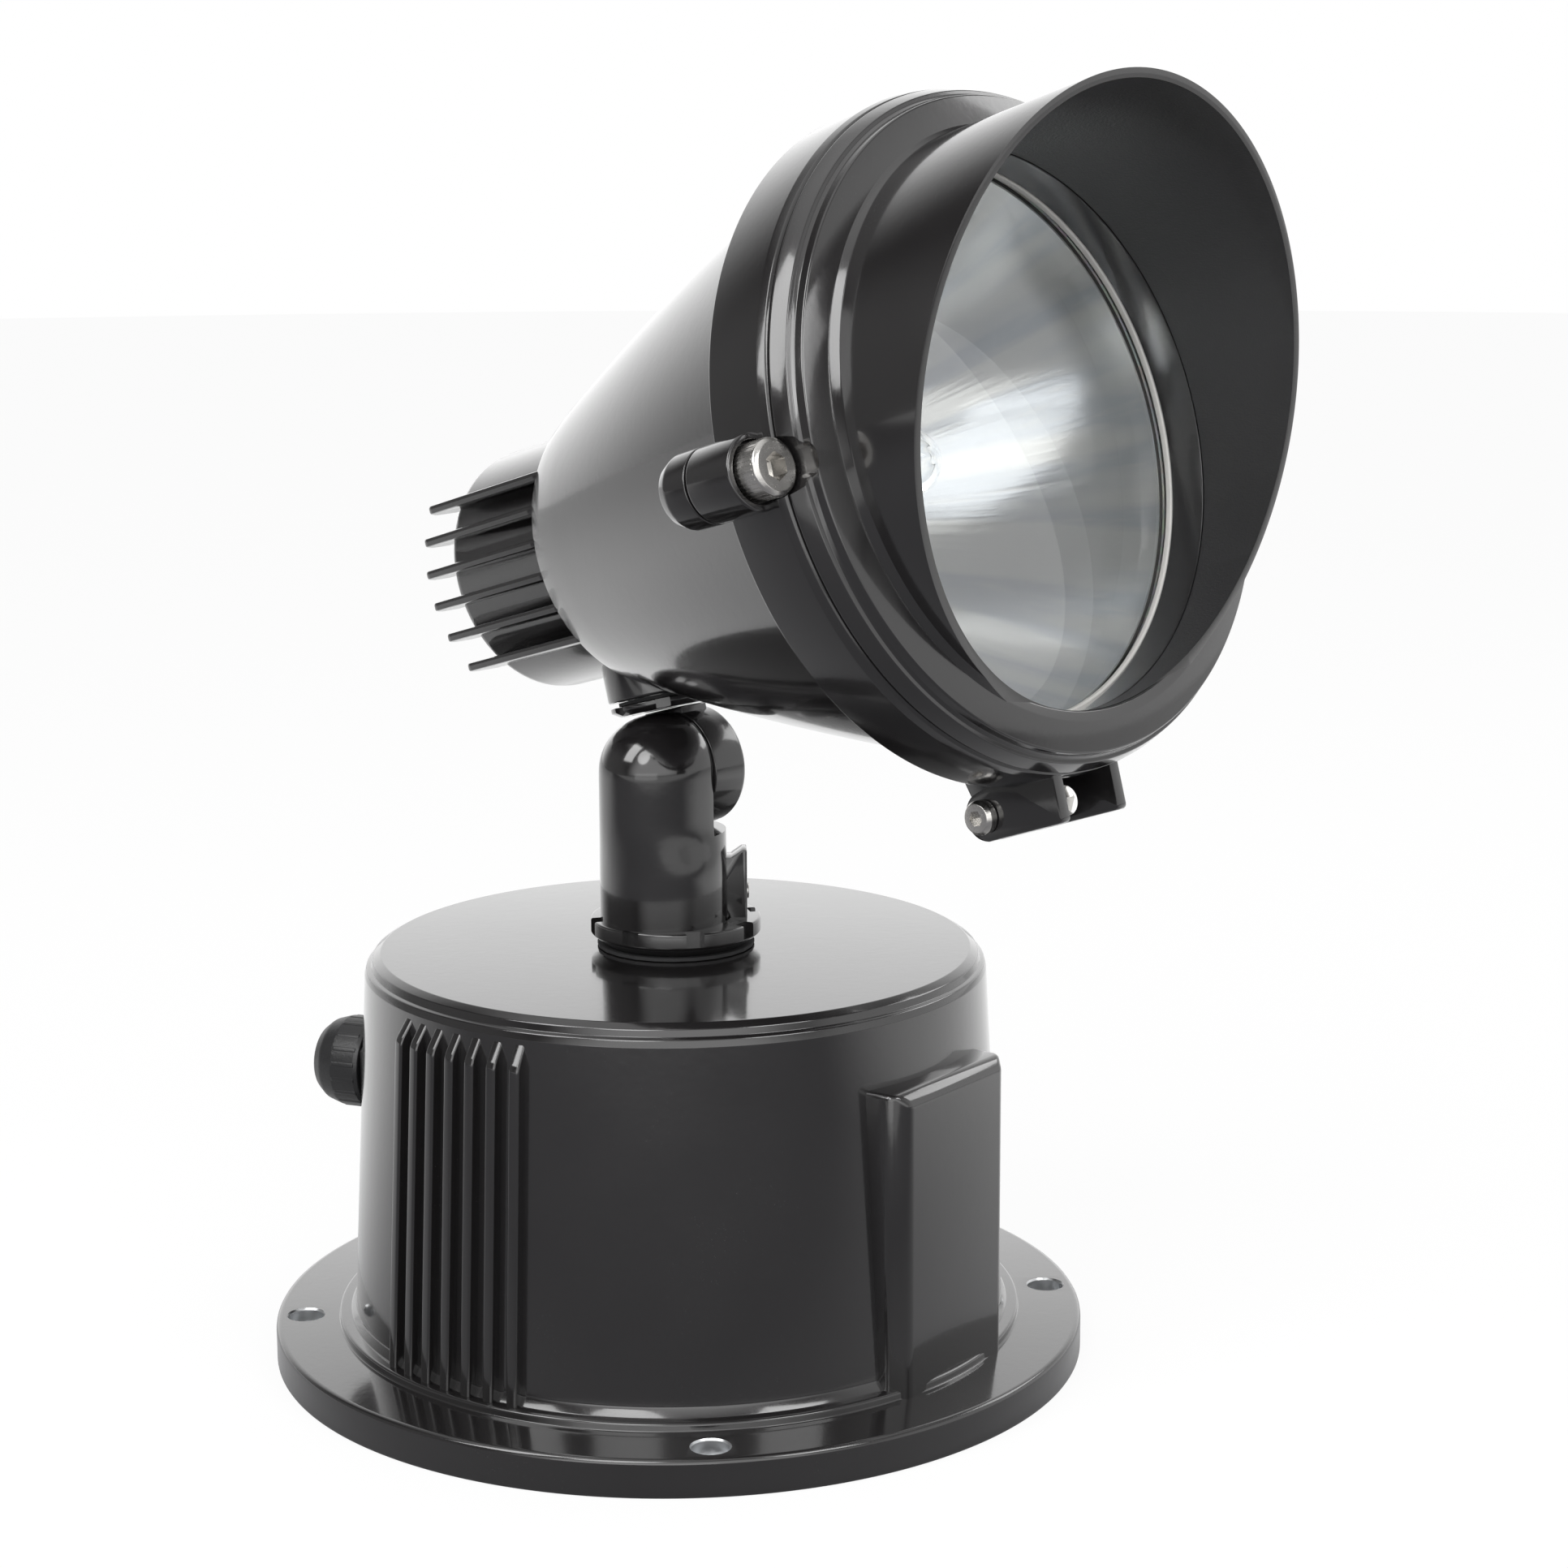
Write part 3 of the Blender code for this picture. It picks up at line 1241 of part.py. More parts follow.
def glass_low():
    return POCKET_X - GAP - GLASS_SEAL_T - GAP - GLASS_T


def glass_frame_outline():
    """The ring with its stepped opening, from the housing side to the front."""
    groove = snap_groove_low()
    return [(0.0, FRAME_SKIRT_R), (0.0, FRAME_R - 0.0008), (0.0008, FRAME_R),
            (FRAME_L - 0.0012, FRAME_R), (FRAME_L, FRAME_R - 0.0012), (FRAME_L, BORE_R),
            (POCKET_X, BORE_R), (POCKET_X, POCKET_R), (glass_low(), POCKET_R),
            (glass_low(), POCKET_R + SNAP_GROOVE), (groove, POCKET_R + SNAP_GROOVE),
            (groove, POCKET_R), (FRAME_FACE_X, POCKET_R), (FRAME_FACE_X, FRAME_SKIRT_R)]


def fill_frame_lugs(bm):
    for side in (-1, 1):
        outline = [(GAP, 0.0), (GAP, LUG_R), (LUG_FRONT - 0.0005, LUG_R),
                   (LUG_FRONT, LUG_R - 0.0005), (LUG_FRONT, 0.0)]
        add_turned(bm, outline, MID_STEPS, clamp_place(side))


def fill_frame_ears(bm):
    outline = eye_outline(EAR_FRONT, EAR_FOOT_Z, -0.0905, back=0.0005)
    for side in (-1, 1):
        middle = side * EAR_Y
        add_slab(bm, outline, middle - EAR_T / 2, middle + EAR_T / 2)


def fill_screw_scallops(bm):
    for side in (-1, 1):
        outline = rod_outline(CLAMP_SEAT, 0.040, CLAMP_HEAD_R + RUN)
        add_turned(bm, outline, MID_STEPS, clamp_place(side, 7.0))


def fill_lug_holes(bm):
    for side in (-1, 1):
        add_turned(bm, rod_outline(-0.002, CLAMP_SEAT + 0.001, CLAMP_HOLE_R), MID_STEPS,
                   clamp_place(side, 4.0))


def hood_screw_place(index):
    angle = math.radians(45 + 90 * index)
    return spot(0, HOOD_SCREW_RING * math.cos(angle), HOOD_SCREW_RING * math.sin(angle)) @ turn_about("X")


def hood_screw_seat():
    return HOOD_SCREW_HEAD_T + 0.0008


def fill_hood_screw_holes(bm):
    seat = hood_screw_seat()
    end = FRAME_L + GAP + 0.0024
    outline = [(-0.001, 0.0), (-0.001, HOOD_SCREW_HEAD_R + HOLE_GAP), (seat, HOOD_SCREW_HEAD_R + HOLE_GAP),
               (seat, HOOD_SCREW_R + HOLE_GAP), (end, HOOD_SCREW_R + HOLE_GAP), (end, 0.0)]
    for index in range(4):
        add_turned(bm, outline, SMALL_STEPS, hood_screw_place(index))


def fill_lanyard_hole(bm):
    place = spot(LANYARD_HOLE_X, 0, HINGE_Z - 0.0004) @ turn_about("Y")
    outline = rod_outline(EAR_Y - EAR_T, EAR_Y + EAR_T, LANYARD_HOLE_R)
    add_turned(bm, outline, MID_STEPS, place)


def glass_frame(door):
    obj = turned("glass_frame", glass_frame_outline(), black_paint(), axis="X")
    add_to(obj, fill_frame_lugs)
    add_to(obj, fill_frame_ears)
    cut_from(obj, fill_screw_scallops)
    cut_from(obj, fill_lug_holes)
    cut_from(obj, fill_hood_screw_holes)
    cut_from(obj, fill_hinge_bore)
    cut_from(obj, fill_lanyard_hole)
    door_children(door, obj)


def hood_outline():
    back = FRAME_L + GAP
    tube_r = BORE_R + HOOD_WALL
    far = HOOD_CUT_X + HOOD_CUT_SLOPE * tube_r + 0.004
    return [(back, BORE_R), (back, FRAME_R - 0.0023), (back + 0.0008, FRAME_R - 0.0017),
            (back + 0.0042, FRAME_R - 0.0025), (back + 0.0064, FRAME_R - 0.0037),
            (back + 0.0087, tube_r + 0.0054), (back + 0.0107, tube_r + 0.0026),
            (back + 0.0137, tube_r + 0.0007), (back + 0.0172, tube_r), (far, tube_r), (far, BORE_R)]


def fill_hood_cut(bm):
    """Everything beyond the slanted plane of the hood's rim."""
    slant = math.atan(HOOD_CUT_SLOPE)
    place = spot(HOOD_CUT_X, 0, 0) @ Matrix.Rotation(slant, 4, "Y")
    add_box(bm, (0, -0.15, -0.15), (0.12, 0.15, 0.15), place)


def hood(door):
    obj = turned("hood", hood_outline(), hood_paint(), axis="X")
    cut_from(obj, fill_hood_cut)
    cut_from(obj, fill_screw_scallops)
    cut_from(obj, fill_hood_screw_holes)
    door_children(door, obj)
    for index in range(4):
        seat = hood_screw_seat() - GAP
        end = FRAME_L + GAP + 0.0021
        outline = [(seat - HOOD_SCREW_HEAD_T, 0.0), (seat - HOOD_SCREW_HEAD_T, HOOD_SCREW_HEAD_R),
                   (seat, HOOD_SCREW_HEAD_R), (seat, HOOD_SCREW_R), (end, HOOD_SCREW_R), (end, 0.0)]
        door_children(door, turned(f"hood_screw_{index + 1}", outline, stainless(),
                                   steps=SMALL_STEPS, place=hood_screw_place(index)))


def glazing(door):
    low = glass_low()
    radius = POCKET_R - GAP
    glass = turned("front_glass", rod_outline(low, low + GLASS_T, radius), clear_glass(), axis="X")
    seal_low = low + GLASS_T + GAP
    seal = turned("glass_gasket", tube_outline(seal_low, seal_low + GLASS_SEAL_T, BORE_R + 0.0006, radius),
                  silicone(), axis="X")
    snap_low = snap_groove_low() + GAP
    snap = turned("glass_snap_ring",
                  tube_outline(snap_low, snap_low + SNAP_T, BORE_R + 0.0012, POCKET_R + SNAP_GROOVE - GAP),
                  zinc_steel(), axis="X")
    door_children(door, glass, seal, snap)


def clamp_screws(door):
    for name, side in (("clamp_screw_left", -1), ("clamp_screw_right", 1)):
        axis = empty(f"{name}_axis", (-HINGE_X, side * CLAMP_Y, CLAMP_Z - HINGE_Z), door)
        seat = CLAMP_SEAT + GAP
        end = seat + CLAMP_HEAD_L
        outline = [(-CLAMP_REACH, 0.0), (-CLAMP_REACH, CLAMP_SHANK_R - 0.0008),
                   (-CLAMP_REACH + 0.0008, CLAMP_SHANK_R), (seat, CLAMP_SHANK_R),
                   (seat, CLAMP_HEAD_R), (end - 0.0006, CLAMP_HEAD_R), (end, CLAMP_HEAD_R - 0.0006),
                   (end, 0.0)]
        place = turn_about("X")
        obj = turned(name, outline, stainless(), steps=MID_STEPS, place=place)
        cutter = cut_from(obj, hexagon(end - HEX_DEPTH, end + 0.001, HEX_R, place))
        place_on(obj, axis, (0, 0, 0))
        place_on(cutter, axis, (0, 0, 0))


def base_body():
    gear_box()
    base_plate()
    base_gasket()
    base_plate_screws()
    gear_tray()
    tray_screws()
    ballast_core()
    ballast_coil()
    ballast_strap()
    capacitor()
    ignitor_and_terminals()
    earth_stud()
    gland()


def knuckle_body():
    pan = empty("pan_axis", (0, 0, BOX_H))
    lower_arm(pan)
    lock_ring(pan)
    pan_hardware(pan)
    return pan


def head_body(pan):
    tilt = empty("tilt_axis", (0, 0, PIVOT_Z - BOX_H), pan, (0, math.radians(-HEAD_TILT), 0))
    upper_arm(tilt)
    upper_lock_nut(tilt)
    lamp_housing(tilt)
    front_gasket(tilt)
    optics(tilt)
    lamp_and_holder(tilt)
    hinge_bolt(tilt)
    return tilt


def door_body(tilt):
    door = empty("door_axis", (PIVOT_BEHIND + HINGE_X, 0, PIVOT_BELOW + HINGE_Z), tilt)
    glass_frame(door)
    hood(door)
    glazing(door)
    clamp_screws(door)


clear_scene()
base_body()
door_body(head_body(knuckle_body()))
bpy.context.view_layer.update()
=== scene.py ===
import math

import bmesh
import bpy
from mathutils import Matrix, Vector

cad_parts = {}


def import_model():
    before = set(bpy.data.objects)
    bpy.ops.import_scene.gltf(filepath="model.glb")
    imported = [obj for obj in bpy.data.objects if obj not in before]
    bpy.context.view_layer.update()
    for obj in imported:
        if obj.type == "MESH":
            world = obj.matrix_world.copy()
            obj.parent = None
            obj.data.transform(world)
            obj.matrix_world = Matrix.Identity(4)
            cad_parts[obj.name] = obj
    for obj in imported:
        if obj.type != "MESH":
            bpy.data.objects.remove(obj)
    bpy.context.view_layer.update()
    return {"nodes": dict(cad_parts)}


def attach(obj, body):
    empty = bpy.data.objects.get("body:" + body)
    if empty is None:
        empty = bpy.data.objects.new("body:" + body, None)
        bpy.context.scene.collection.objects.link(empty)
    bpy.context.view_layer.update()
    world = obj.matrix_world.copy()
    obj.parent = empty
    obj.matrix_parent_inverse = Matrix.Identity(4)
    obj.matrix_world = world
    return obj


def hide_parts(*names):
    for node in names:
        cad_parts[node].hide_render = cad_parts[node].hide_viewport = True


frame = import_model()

# The lamp's detailed pieces, their finishes and the studio round them.
# Shapes are drawn in millimetres: base pieces in the part's own frame, head
# pieces along the light beam, from the rear face of the glass frame.
BASE = Matrix.Scale(0.001, 4)
HEAD_TILT = math.radians(16)
HEAD_X, HEAD_Z = 114.445, 285.805
HEAD = (BASE @ Matrix.Translation((HEAD_X, 0, HEAD_Z))
        @ Matrix.Rotation(-HEAD_TILT, 4, "Y"))
# The light beam's height above the origin, in metres, once the head is level.
BEAM_HEIGHT = (HEAD_Z * math.cos(HEAD_TILT) - HEAD_X * math.sin(HEAD_TILT)) / 1000
# The degrees by which the camera stands away from the -Y side, towards +X.
VIEW_TURN = 46
ROUND = 160
WHITE = (1, 1, 1)


# Shader sums

class Value:
    """A socket of a node tree, on which sums are written as usual."""

    def __init__(self, bench, socket):
        self.bench = bench
        self.socket = socket

    def sum(self, operation, first, second):
        return self.bench.node("ShaderNodeMath", {"operation": operation}, {0: first, 1: second})

    def __add__(self, other):
        return self.sum("ADD", self, other)

    def __radd__(self, other):
        return self.sum("ADD", other, self)

    def __sub__(self, other):
        return self.sum("SUBTRACT", self, other)

    def __rsub__(self, other):
        return self.sum("SUBTRACT", other, self)

    def __mul__(self, other):
        return self.sum("MULTIPLY", self, other)


class Bench:
    """A node tree being filled: node() adds one node and gives its output."""

    def __init__(self, tree):
        self.tree = tree

    def node(self, kind, settings=None, sockets=None, out=0):
        node = self.tree.nodes.new(kind)
        for key, value in (settings or {}).items():
            setattr(node, key, value)
        for key, value in (sockets or {}).items():
            self.feed(node.inputs[key], value)
        return Value(self, node.outputs[out])

    def feed(self, slot, value):
        if isinstance(value, Value):
            self.tree.links.new(value.socket, slot)
        elif slot.type == "RGBA":
            slot.default_value = (*value, 1.0)
        else:
            slot.default_value = value

    def split(self, vector):
        first = self.node("ShaderNodeSeparateXYZ", {}, {0: vector})
        return [Value(self, out) for out in first.socket.node.outputs]

    def step(self, value, low, high, shape="LINEAR"):
        """0 below low, 1 above high."""
        return self.node("ShaderNodeMapRange", {"interpolation_type": shape}, {
            "Value": value, "From Min": low, "From Max": high})

    def blend(self, mask, first, second):
        """The first colour where mask is 0, the second where it is 1."""
        return self.node("ShaderNodeMix", {"data_type": "RGBA"},
                         {0: mask, 6: first, 7: second}, 2)


class Finish(Bench):
    """A material under construction."""

    def __init__(self, name, **constants):
        self.material = bpy.data.materials.new(name)
        self.material.use_nodes = True
        super().__init__(self.material.node_tree)
        self.shader = self.tree.nodes["Principled BSDF"]
        for key, value in constants.items():
            self.set(key.replace("_", " "), value)

    def set(self, key, value):
        self.feed(self.shader.inputs[key], value)

    def place(self, stretch=(1, 1, 1), turn=(0, 0, 0)):
        spot = self.node("ShaderNodeTexCoord", out=3)
        return self.node("ShaderNodeMapping", {},
                         {"Vector": spot, "Rotation": turn, "Scale": stretch})

    def noise(self, scale, detail=2.0, rough=0.5, where=None):
        return self.node("ShaderNodeTexNoise", {}, {
            "Vector": where or self.place(), "Scale": scale,
            "Detail": detail, "Roughness": rough})

    def bump(self, height, depth):
        self.set("Normal", self.node("ShaderNodeBump", {}, {"Height": height, "Distance": depth}))


def powder_coat():
    """Gloss black powder coat with a faint orange peel and a little dust."""
    paint = Finish("powder_coat", Coat_Roughness=0.08)
    peel = paint.noise(520.0, 1.5) * 0.7 + paint.noise(150.0, 2.0)
    cloud = paint.noise(22.0, 3.0)
    dust = paint.step(paint.noise(2600.0, 2.0), 0.68, 0.78) * paint.step(cloud, 0.42, 0.7)
    tone = paint.blend(cloud, (0.0105, 0.0098, 0.0101), (0.015, 0.014, 0.0143))
    paint.set("Base Color", paint.blend(dust * 0.35, tone, (0.14, 0.135, 0.13)))
    paint.set("Roughness", paint.step(cloud, 0.3, 0.75) * 0.06 + 0.14 + dust * 0.2)
    paint.set("Coat Weight", 1.0 - dust * 0.5)
    paint.bump(peel, 0.00003)
    return paint.material


def hood_lining():
    """Satin black with the fine pebbled texture of a baffle paint."""
    paint = Finish("hood_lining", Specular_IOR_Level=0.7)
    grain = paint.noise(1500.0, 3.0, 0.6)
    weave = paint.noise(1.0, 2.0, 0.5, paint.place((420.0, 1900.0, 1900.0)))
    cloud = paint.noise(16.0, 3.0)
    # The base colour is lighter than the outer powder coat's: painted light that brightens the
    # dimly lit inside of the hood.
    paint.set("Base Color", paint.blend(cloud, (0.021, 0.0205, 0.0213), (0.03, 0.0292, 0.03)))
    paint.set("Roughness", 0.3 + cloud * 0.1 + grain * 0.06)
    paint.bump(grain * 0.7 + weave * 0.5, 0.00016)
    return paint.material


def steel(name, shade, gloss, lines=900.0):
    """Turned or rolled steel with faint tool lines and handling marks."""
    metal = Finish(name, Metallic=1.0)
    cloud = metal.noise(90.0, 3.0)
    fine = metal.noise(1.0, 2.0, 0.6, metal.place((lines * 3, lines, lines * 3)))
    mark = metal.step(metal.noise(420.0, 4.0, 0.7), 0.6, 0.72)
    low = tuple(0.86 * part for part in shade)
    metal.set("Base Color", metal.blend(cloud, low, shade))
    metal.set("Roughness", gloss + cloud * 0.08 + fine * 0.1 + mark * 0.12)
    metal.bump(fine + mark * 0.6, 0.00002)
    return metal.material


def zinc():
    """Zinc plate: cool grey with a faint gold and blue passivation."""
    metal = Finish("zinc_plate", Metallic=1.0)
    cloud = metal.noise(60.0, 4.0, 0.6)
    cell = metal.node("ShaderNodeTexVoronoi", {"feature": "F1"},
                      {"Vector": metal.place(), "Scale": 260.0}, 1)
    tone = metal.blend(cloud, (0.52, 0.53, 0.56), (0.62, 0.6, 0.52))
    metal.set("Base Color", metal.blend(0.12, tone, cell))
    metal.set("Roughness", 0.3 + cloud * 0.2)
    metal.bump(cloud, 0.00003)
    return metal.material


def rubber(name, shade, gloss):
    """Moulded rubber with a matte bloom."""
    soft = Finish(name)
    cloud = soft.noise(70.0, 3.0)
    grain = soft.noise(1600.0, 2.0)
    low = tuple(0.8 * part for part in shade)
    soft.set("Base Color", soft.blend(cloud, low, shade))
    soft.set("Roughness", gloss + grain * 0.12)
    soft.bump(grain, 0.00006)
    return soft.material


def plastic(name, shade, gloss):
    """Injection-moulded plastic with a fine spark-eroded texture."""
    shell = Finish(name)
    cloud = shell.noise(35.0, 2.0)
    grain = shell.noise(1100.0, 3.0, 0.6)
    low = tuple(0.85 * part for part in shade)
    shell.set("Base Color", shell.blend(cloud, low, shade))
    shell.set("Roughness", gloss + grain * 0.14)
    shell.bump(grain, 0.00008)
    return shell.material


def spun_mirror():
    """Polished aluminium, drawn over a former: streaks that run to the middle. Its base colour
    carries a painted reflection: broad blue-grey and near-white bands, and light streaks.
    """
    metal = Finish("spun_mirror", Metallic=0.64)
    depth, side, lift = metal.split(metal.place(turn=(0, HEAD_TILT, 0)))
    lift = lift - BEAM_HEIGHT
    turn = lift.sum("ARCTAN2", lift, side)
    polar = metal.node("ShaderNodeCombineXYZ", {}, {0: turn, 1: depth * 2.2, 2: 0.0})
    streak = metal.noise(30.0, 1.0, 0.55, polar)
    broad = metal.noise(5.0, 1.0, 0.5, polar)
    haze = metal.noise(26.0, 3.0)
    # Light streaks in the base colour are a painted reflection; the streaks in roughness and bump
    # are the spinning marks.
    painted_streak_glint = metal.step(streak, 0.5, 0.8) * 0.6
    # Broad blue-grey and near-white bands in the base colour: a painted reflection.
    tone = metal.blend(metal.step(broad, 0.44, 0.54), (0.80, 0.83, 0.87), (0.97, 0.97, 0.96))
    metal.set("Base Color", metal.blend(painted_streak_glint, tone, (0.96, 0.96, 0.94)))
    metal.set("Roughness", 0.07 + streak * 0.12 + haze * 0.06)
    metal.bump(streak * 0.2 + broad * 0.7, 0.0002)
    return metal.material


def window_glass():
    """Toughened clear glass with faint smears."""
    pane = Finish("window_glass", Transmission_Weight=1.0, IOR=1.5)
    smear = pane.noise(1.0, 3.0, 0.6, pane.place((18.0, 60.0, 24.0)))
    spot = pane.step(pane.noise(1300.0, 1.0), 0.74, 0.8)
    pane.set("Base Color", pane.blend(spot * 0.25, (0.985, 0.995, 0.99), (0.8, 0.82, 0.82)))
    pane.set("Roughness", pane.step(smear, 0.45, 0.8) * 0.05 + spot * 0.2)
    return pane.material


def lamp_glass():
    """Quartz with a faint cloud."""
    bulb = Finish("quartz_bulb", Transmission_Weight=1.0, IOR=1.46)
    cloud = bulb.noise(120.0, 2.0)
    bulb.set("Base Color", bulb.blend(cloud, (0.95, 0.97, 0.98), (1.0, 1.0, 1.0)))
    bulb.set("Roughness", cloud * 0.04)
    return bulb.material


def ceramic():
    """Unglazed steatite, a warm white."""
    clay = Finish("ceramic")
    cloud = clay.noise(140.0, 3.0)
    grain = clay.noise(1900.0, 2.0)
    clay.set("Base Color", clay.blend(cloud, (0.702, 0.684, 0.639), (0.78, 0.76, 0.71)))
    clay.set("Roughness", 0.35 + grain * 0.15)
    clay.bump(grain, 0.00005)
    return clay.material


def winding():
    """Rows of enamelled copper wire."""
    wire = Finish("copper_winding", Metallic=0.9)
    rows = wire.node("ShaderNodeTexWave", {"wave_type": "BANDS", "bands_direction": "Z"},
                     {"Vector": wire.place(), "Scale": 260.0, "Distortion": 0.6, "Detail": 1.0}, 1)
    wire.set("Base Color", wire.blend(rows, (0.2, 0.055, 0.02), (0.6, 0.24, 0.1)))
    wire.set("Roughness", 0.42 - rows * 0.12)
    wire.bump(rows, 0.0004)
    return wire.material


def laminations():
    """Stacked core plates, varnished, seen on edge."""
    core = Finish("core_plates", Metallic=0.6)
    plates = core.node("ShaderNodeTexWave", {"wave_type": "BANDS", "bands_direction": "X"},
                       {"Vector": core.place(), "Scale": 330.0, "Distortion": 0.2}, 1)
    stain = core.noise(45.0, 4.0)
    tone = core.blend(plates, (0.06, 0.06, 0.065), (0.2, 0.2, 0.21))
    core.set("Base Color", core.blend(core.step(stain, 0.5, 0.8) * 0.5, tone, (0.16, 0.1, 0.06)))
    core.set("Roughness", 0.4 + stain * 0.2)
    core.bump(plates, 0.0002)
    return core.material


PAINT = powder_coat()
LINING = hood_lining()
STAINLESS = steel("stainless", (0.66, 0.645, 0.62), 0.16)
SCREW_STEEL = steel("screw_steel", (0.6, 0.59, 0.57), 0.2, 1400.0)
ZINC = zinc()
RUBBER = rubber("black_rubber", (0.022, 0.022, 0.023), 0.66)
SILICONE = rubber("white_silicone", (0.74, 0.73, 0.7), 0.42)
MIRROR = spun_mirror()
PANE = window_glass()
QUARTZ = lamp_glass()
CERAMIC = ceramic()
NYLON = plastic("black_nylon", (0.02, 0.02, 0.021), 0.3)
GREY_PLASTIC = plastic("grey_plastic", (0.28, 0.29, 0.3), 0.4)
COPPER = winding()
CORE = laminations()
BRASS = steel("brass", (0.62, 0.43, 0.17), 0.22)
CAN = steel("aluminium_can", (0.72, 0.73, 0.74), 0.24, 400.0)


# Shape makers

# They take the Z axis to X or to Y.
ALONG_X = Matrix.Rotation(math.pi / 2, 4, "Y")
ALONG_Y = Matrix.Rotation(-math.pi / 2, 4, "X")


def at(x, y, z):
    return Matrix.Translation((x, y, z))


def round_at(ring, azimuth, z=0.0):
    """A place on a ring about Z, not turned."""
    angle = math.radians(azimuth)
    return at(ring * math.cos(angle), ring * math.sin(angle), z)


def facing(azimuth, z=0.0):
    """Turns the X axis to an azimuth, at a height."""
    return at(0, 0, z) @ Matrix.Rotation(math.radians(azimuth), 4, "Z")


def share_turn(index, count):
    """One of count equal steps round Z."""
    return Matrix.Rotation(math.tau * index / count, 4, "Z")


def soften(corners, arc=4):
    """Rounds each corner that has a third number, its fillet."""
    points = []
    for index, corner in enumerate(corners):
        here = Vector(corner[:2])
        if len(corner) < 3:
            points.append(here)
            continue
        back = Vector(corners[index - 1][:2]) - here
        fore = Vector(corners[(index + 1) % len(corners)][:2]) - here
        half = back.angle(fore) / 2
        reach = min(corner[2] / math.tan(half), 0.48 * back.length, 0.48 * fore.length)
        start = here + back.normalized() * reach
        end = here + fore.normalized() * reach
        for step in range(arc + 1):
            share = step / arc
            points.append(start * (1 - share) ** 2 + here * 2 * share * (1 - share)
                          + end * share ** 2)
    return points


def turned(corners, steps=ROUND, arc=4):
    """Spins (along, radius) corners about Z into a closed solid."""
    bm = bmesh.new()
    outline = soften(corners, arc)
    rim = [bm.verts.new((point[1], 0, point[0])) for point in outline]
    edges = [bm.edges.new(pair) for pair in zip(rim, rim[1:])]
    if outline[0][1] > 0 or outline[-1][1] > 0:
        edges.append(bm.edges.new((rim[-1], rim[0])))
    bmesh.ops.spin(bm, geom=rim + edges, axis=(0, 0, 1), cent=(0, 0, 0),
                   angle=math.tau, steps=steps, use_merge=True)
    bmesh.ops.remove_doubles(bm, verts=bm.verts, dist=1e-4)
    bmesh.ops.recalc_face_normals(bm, faces=bm.faces)
    return bm


def rod(low, high, radius, steps):
    """A solid disc or rod along Z; with six steps, a hexagon."""
    return turned([(low, 0), (low, radius), (high, radius), (high, 0)], steps)


def bevel(bm, edges, width, segments):
    bmesh.ops.bevel(bm, geom=edges, offset=width, offset_type="OFFSET", segments=segments,
                    profile=0.5, affect="EDGES", clamp_overlap=True, material=-1)


def folds(bm, over):
    """The edges at which faces turn by more than over degrees."""
    return [edge for edge in bm.edges
            if edge.is_manifold and edge.calc_face_angle(0) > math.radians(over)]


def sliced(bm, spot, normal):
    """Cuts away what lies past a plane; gives the edges left open there."""
    ret = bmesh.ops.bisect_plane(bm, geom=bm.verts[:] + bm.edges[:] + bm.faces[:],
                                 plane_co=spot, plane_no=normal.normalized(), clear_outer=True)
    return [item for item in ret["geom_cut"] if isinstance(item, bmesh.types.BMEdge)]


def ease(bm, width, segments=3):
    """Rounds every plain fold."""
    bevel(bm, folds(bm, 25), width, segments)
    return bm


def block(low, high, width=0.0):
    """A box between two corners, its edges eased."""
    bm = bmesh.new()
    low = Vector(low)
    high = Vector(high)
    size = Matrix.Diagonal((*(high - low), 1.0))
    bmesh.ops.create_cube(bm, size=1.0, matrix=Matrix.Translation((low + high) / 2) @ size)
    return ease(bm, width) if width else bm


def raise_face(bm, corners, travel):
    """Draws a face and extrudes it."""
    face = bm.faces.new([bm.verts.new(corner) for corner in corners])
    ret = bmesh.ops.extrude_face_region(bm, geom=[face])
    lifted = [item for item in ret["geom"] if isinstance(item, bmesh.types.BMVert)]
    bmesh.ops.translate(bm, vec=travel, verts=lifted)


def slab(outline, low, high, width, arc=4, segments=2):
    """Extrudes an (x, z) outline along Y; corners may carry a fillet."""
    bm = bmesh.new()
    raise_face(bm, [(point[0], low, point[1]) for point in soften(outline, arc)],
               (0, high - low, 0))
    bmesh.ops.recalc_face_normals(bm, faces=bm.faces)
    ends = [edge for edge in bm.edges
            if abs(edge.verts[0].co.y - edge.verts[1].co.y) < 1e-6 and edge.is_manifold]
    bevel(bm, ends, width, segments)
    return bm


def moved(bm, place):
    bmesh.ops.transform(bm, matrix=place, verts=bm.verts)
    return bm


def joined(*shapes):
    """Puts several closed solids into one bmesh, each facing outwards."""
    whole = bmesh.new()
    for shape in shapes:
        bmesh.ops.recalc_face_normals(shape, faces=shape.faces)
        mesh = bpy.data.meshes.new("shape")
        shape.to_mesh(mesh)
        shape.free()
        whole.from_mesh(mesh)
        bpy.data.meshes.remove(mesh)
    return whole


def carved(bm, *cutters):
    """The solid less the cutters."""
    pair = []
    for name, shape in (("solid", joined(bm)), ("cutter", joined(*cutters))):
        mesh = bpy.data.meshes.new(name)
        shape.to_mesh(mesh)
        shape.free()
        pair.append(bpy.data.objects.new(name, mesh))
        bpy.context.scene.collection.objects.link(pair[-1])
    cut = pair[0].modifiers.new("Cut", "BOOLEAN")
    cut.operation = "DIFFERENCE"
    cut.solver = "EXACT"
    cut.object = pair[1]
    result = bmesh.new()
    result.from_object(pair[0], bpy.context.evaluated_depsgraph_get())
    for obj in pair:
        mesh = obj.data
        bpy.data.objects.remove(obj, do_unlink=True)
        bpy.data.meshes.remove(mesh)
    return result


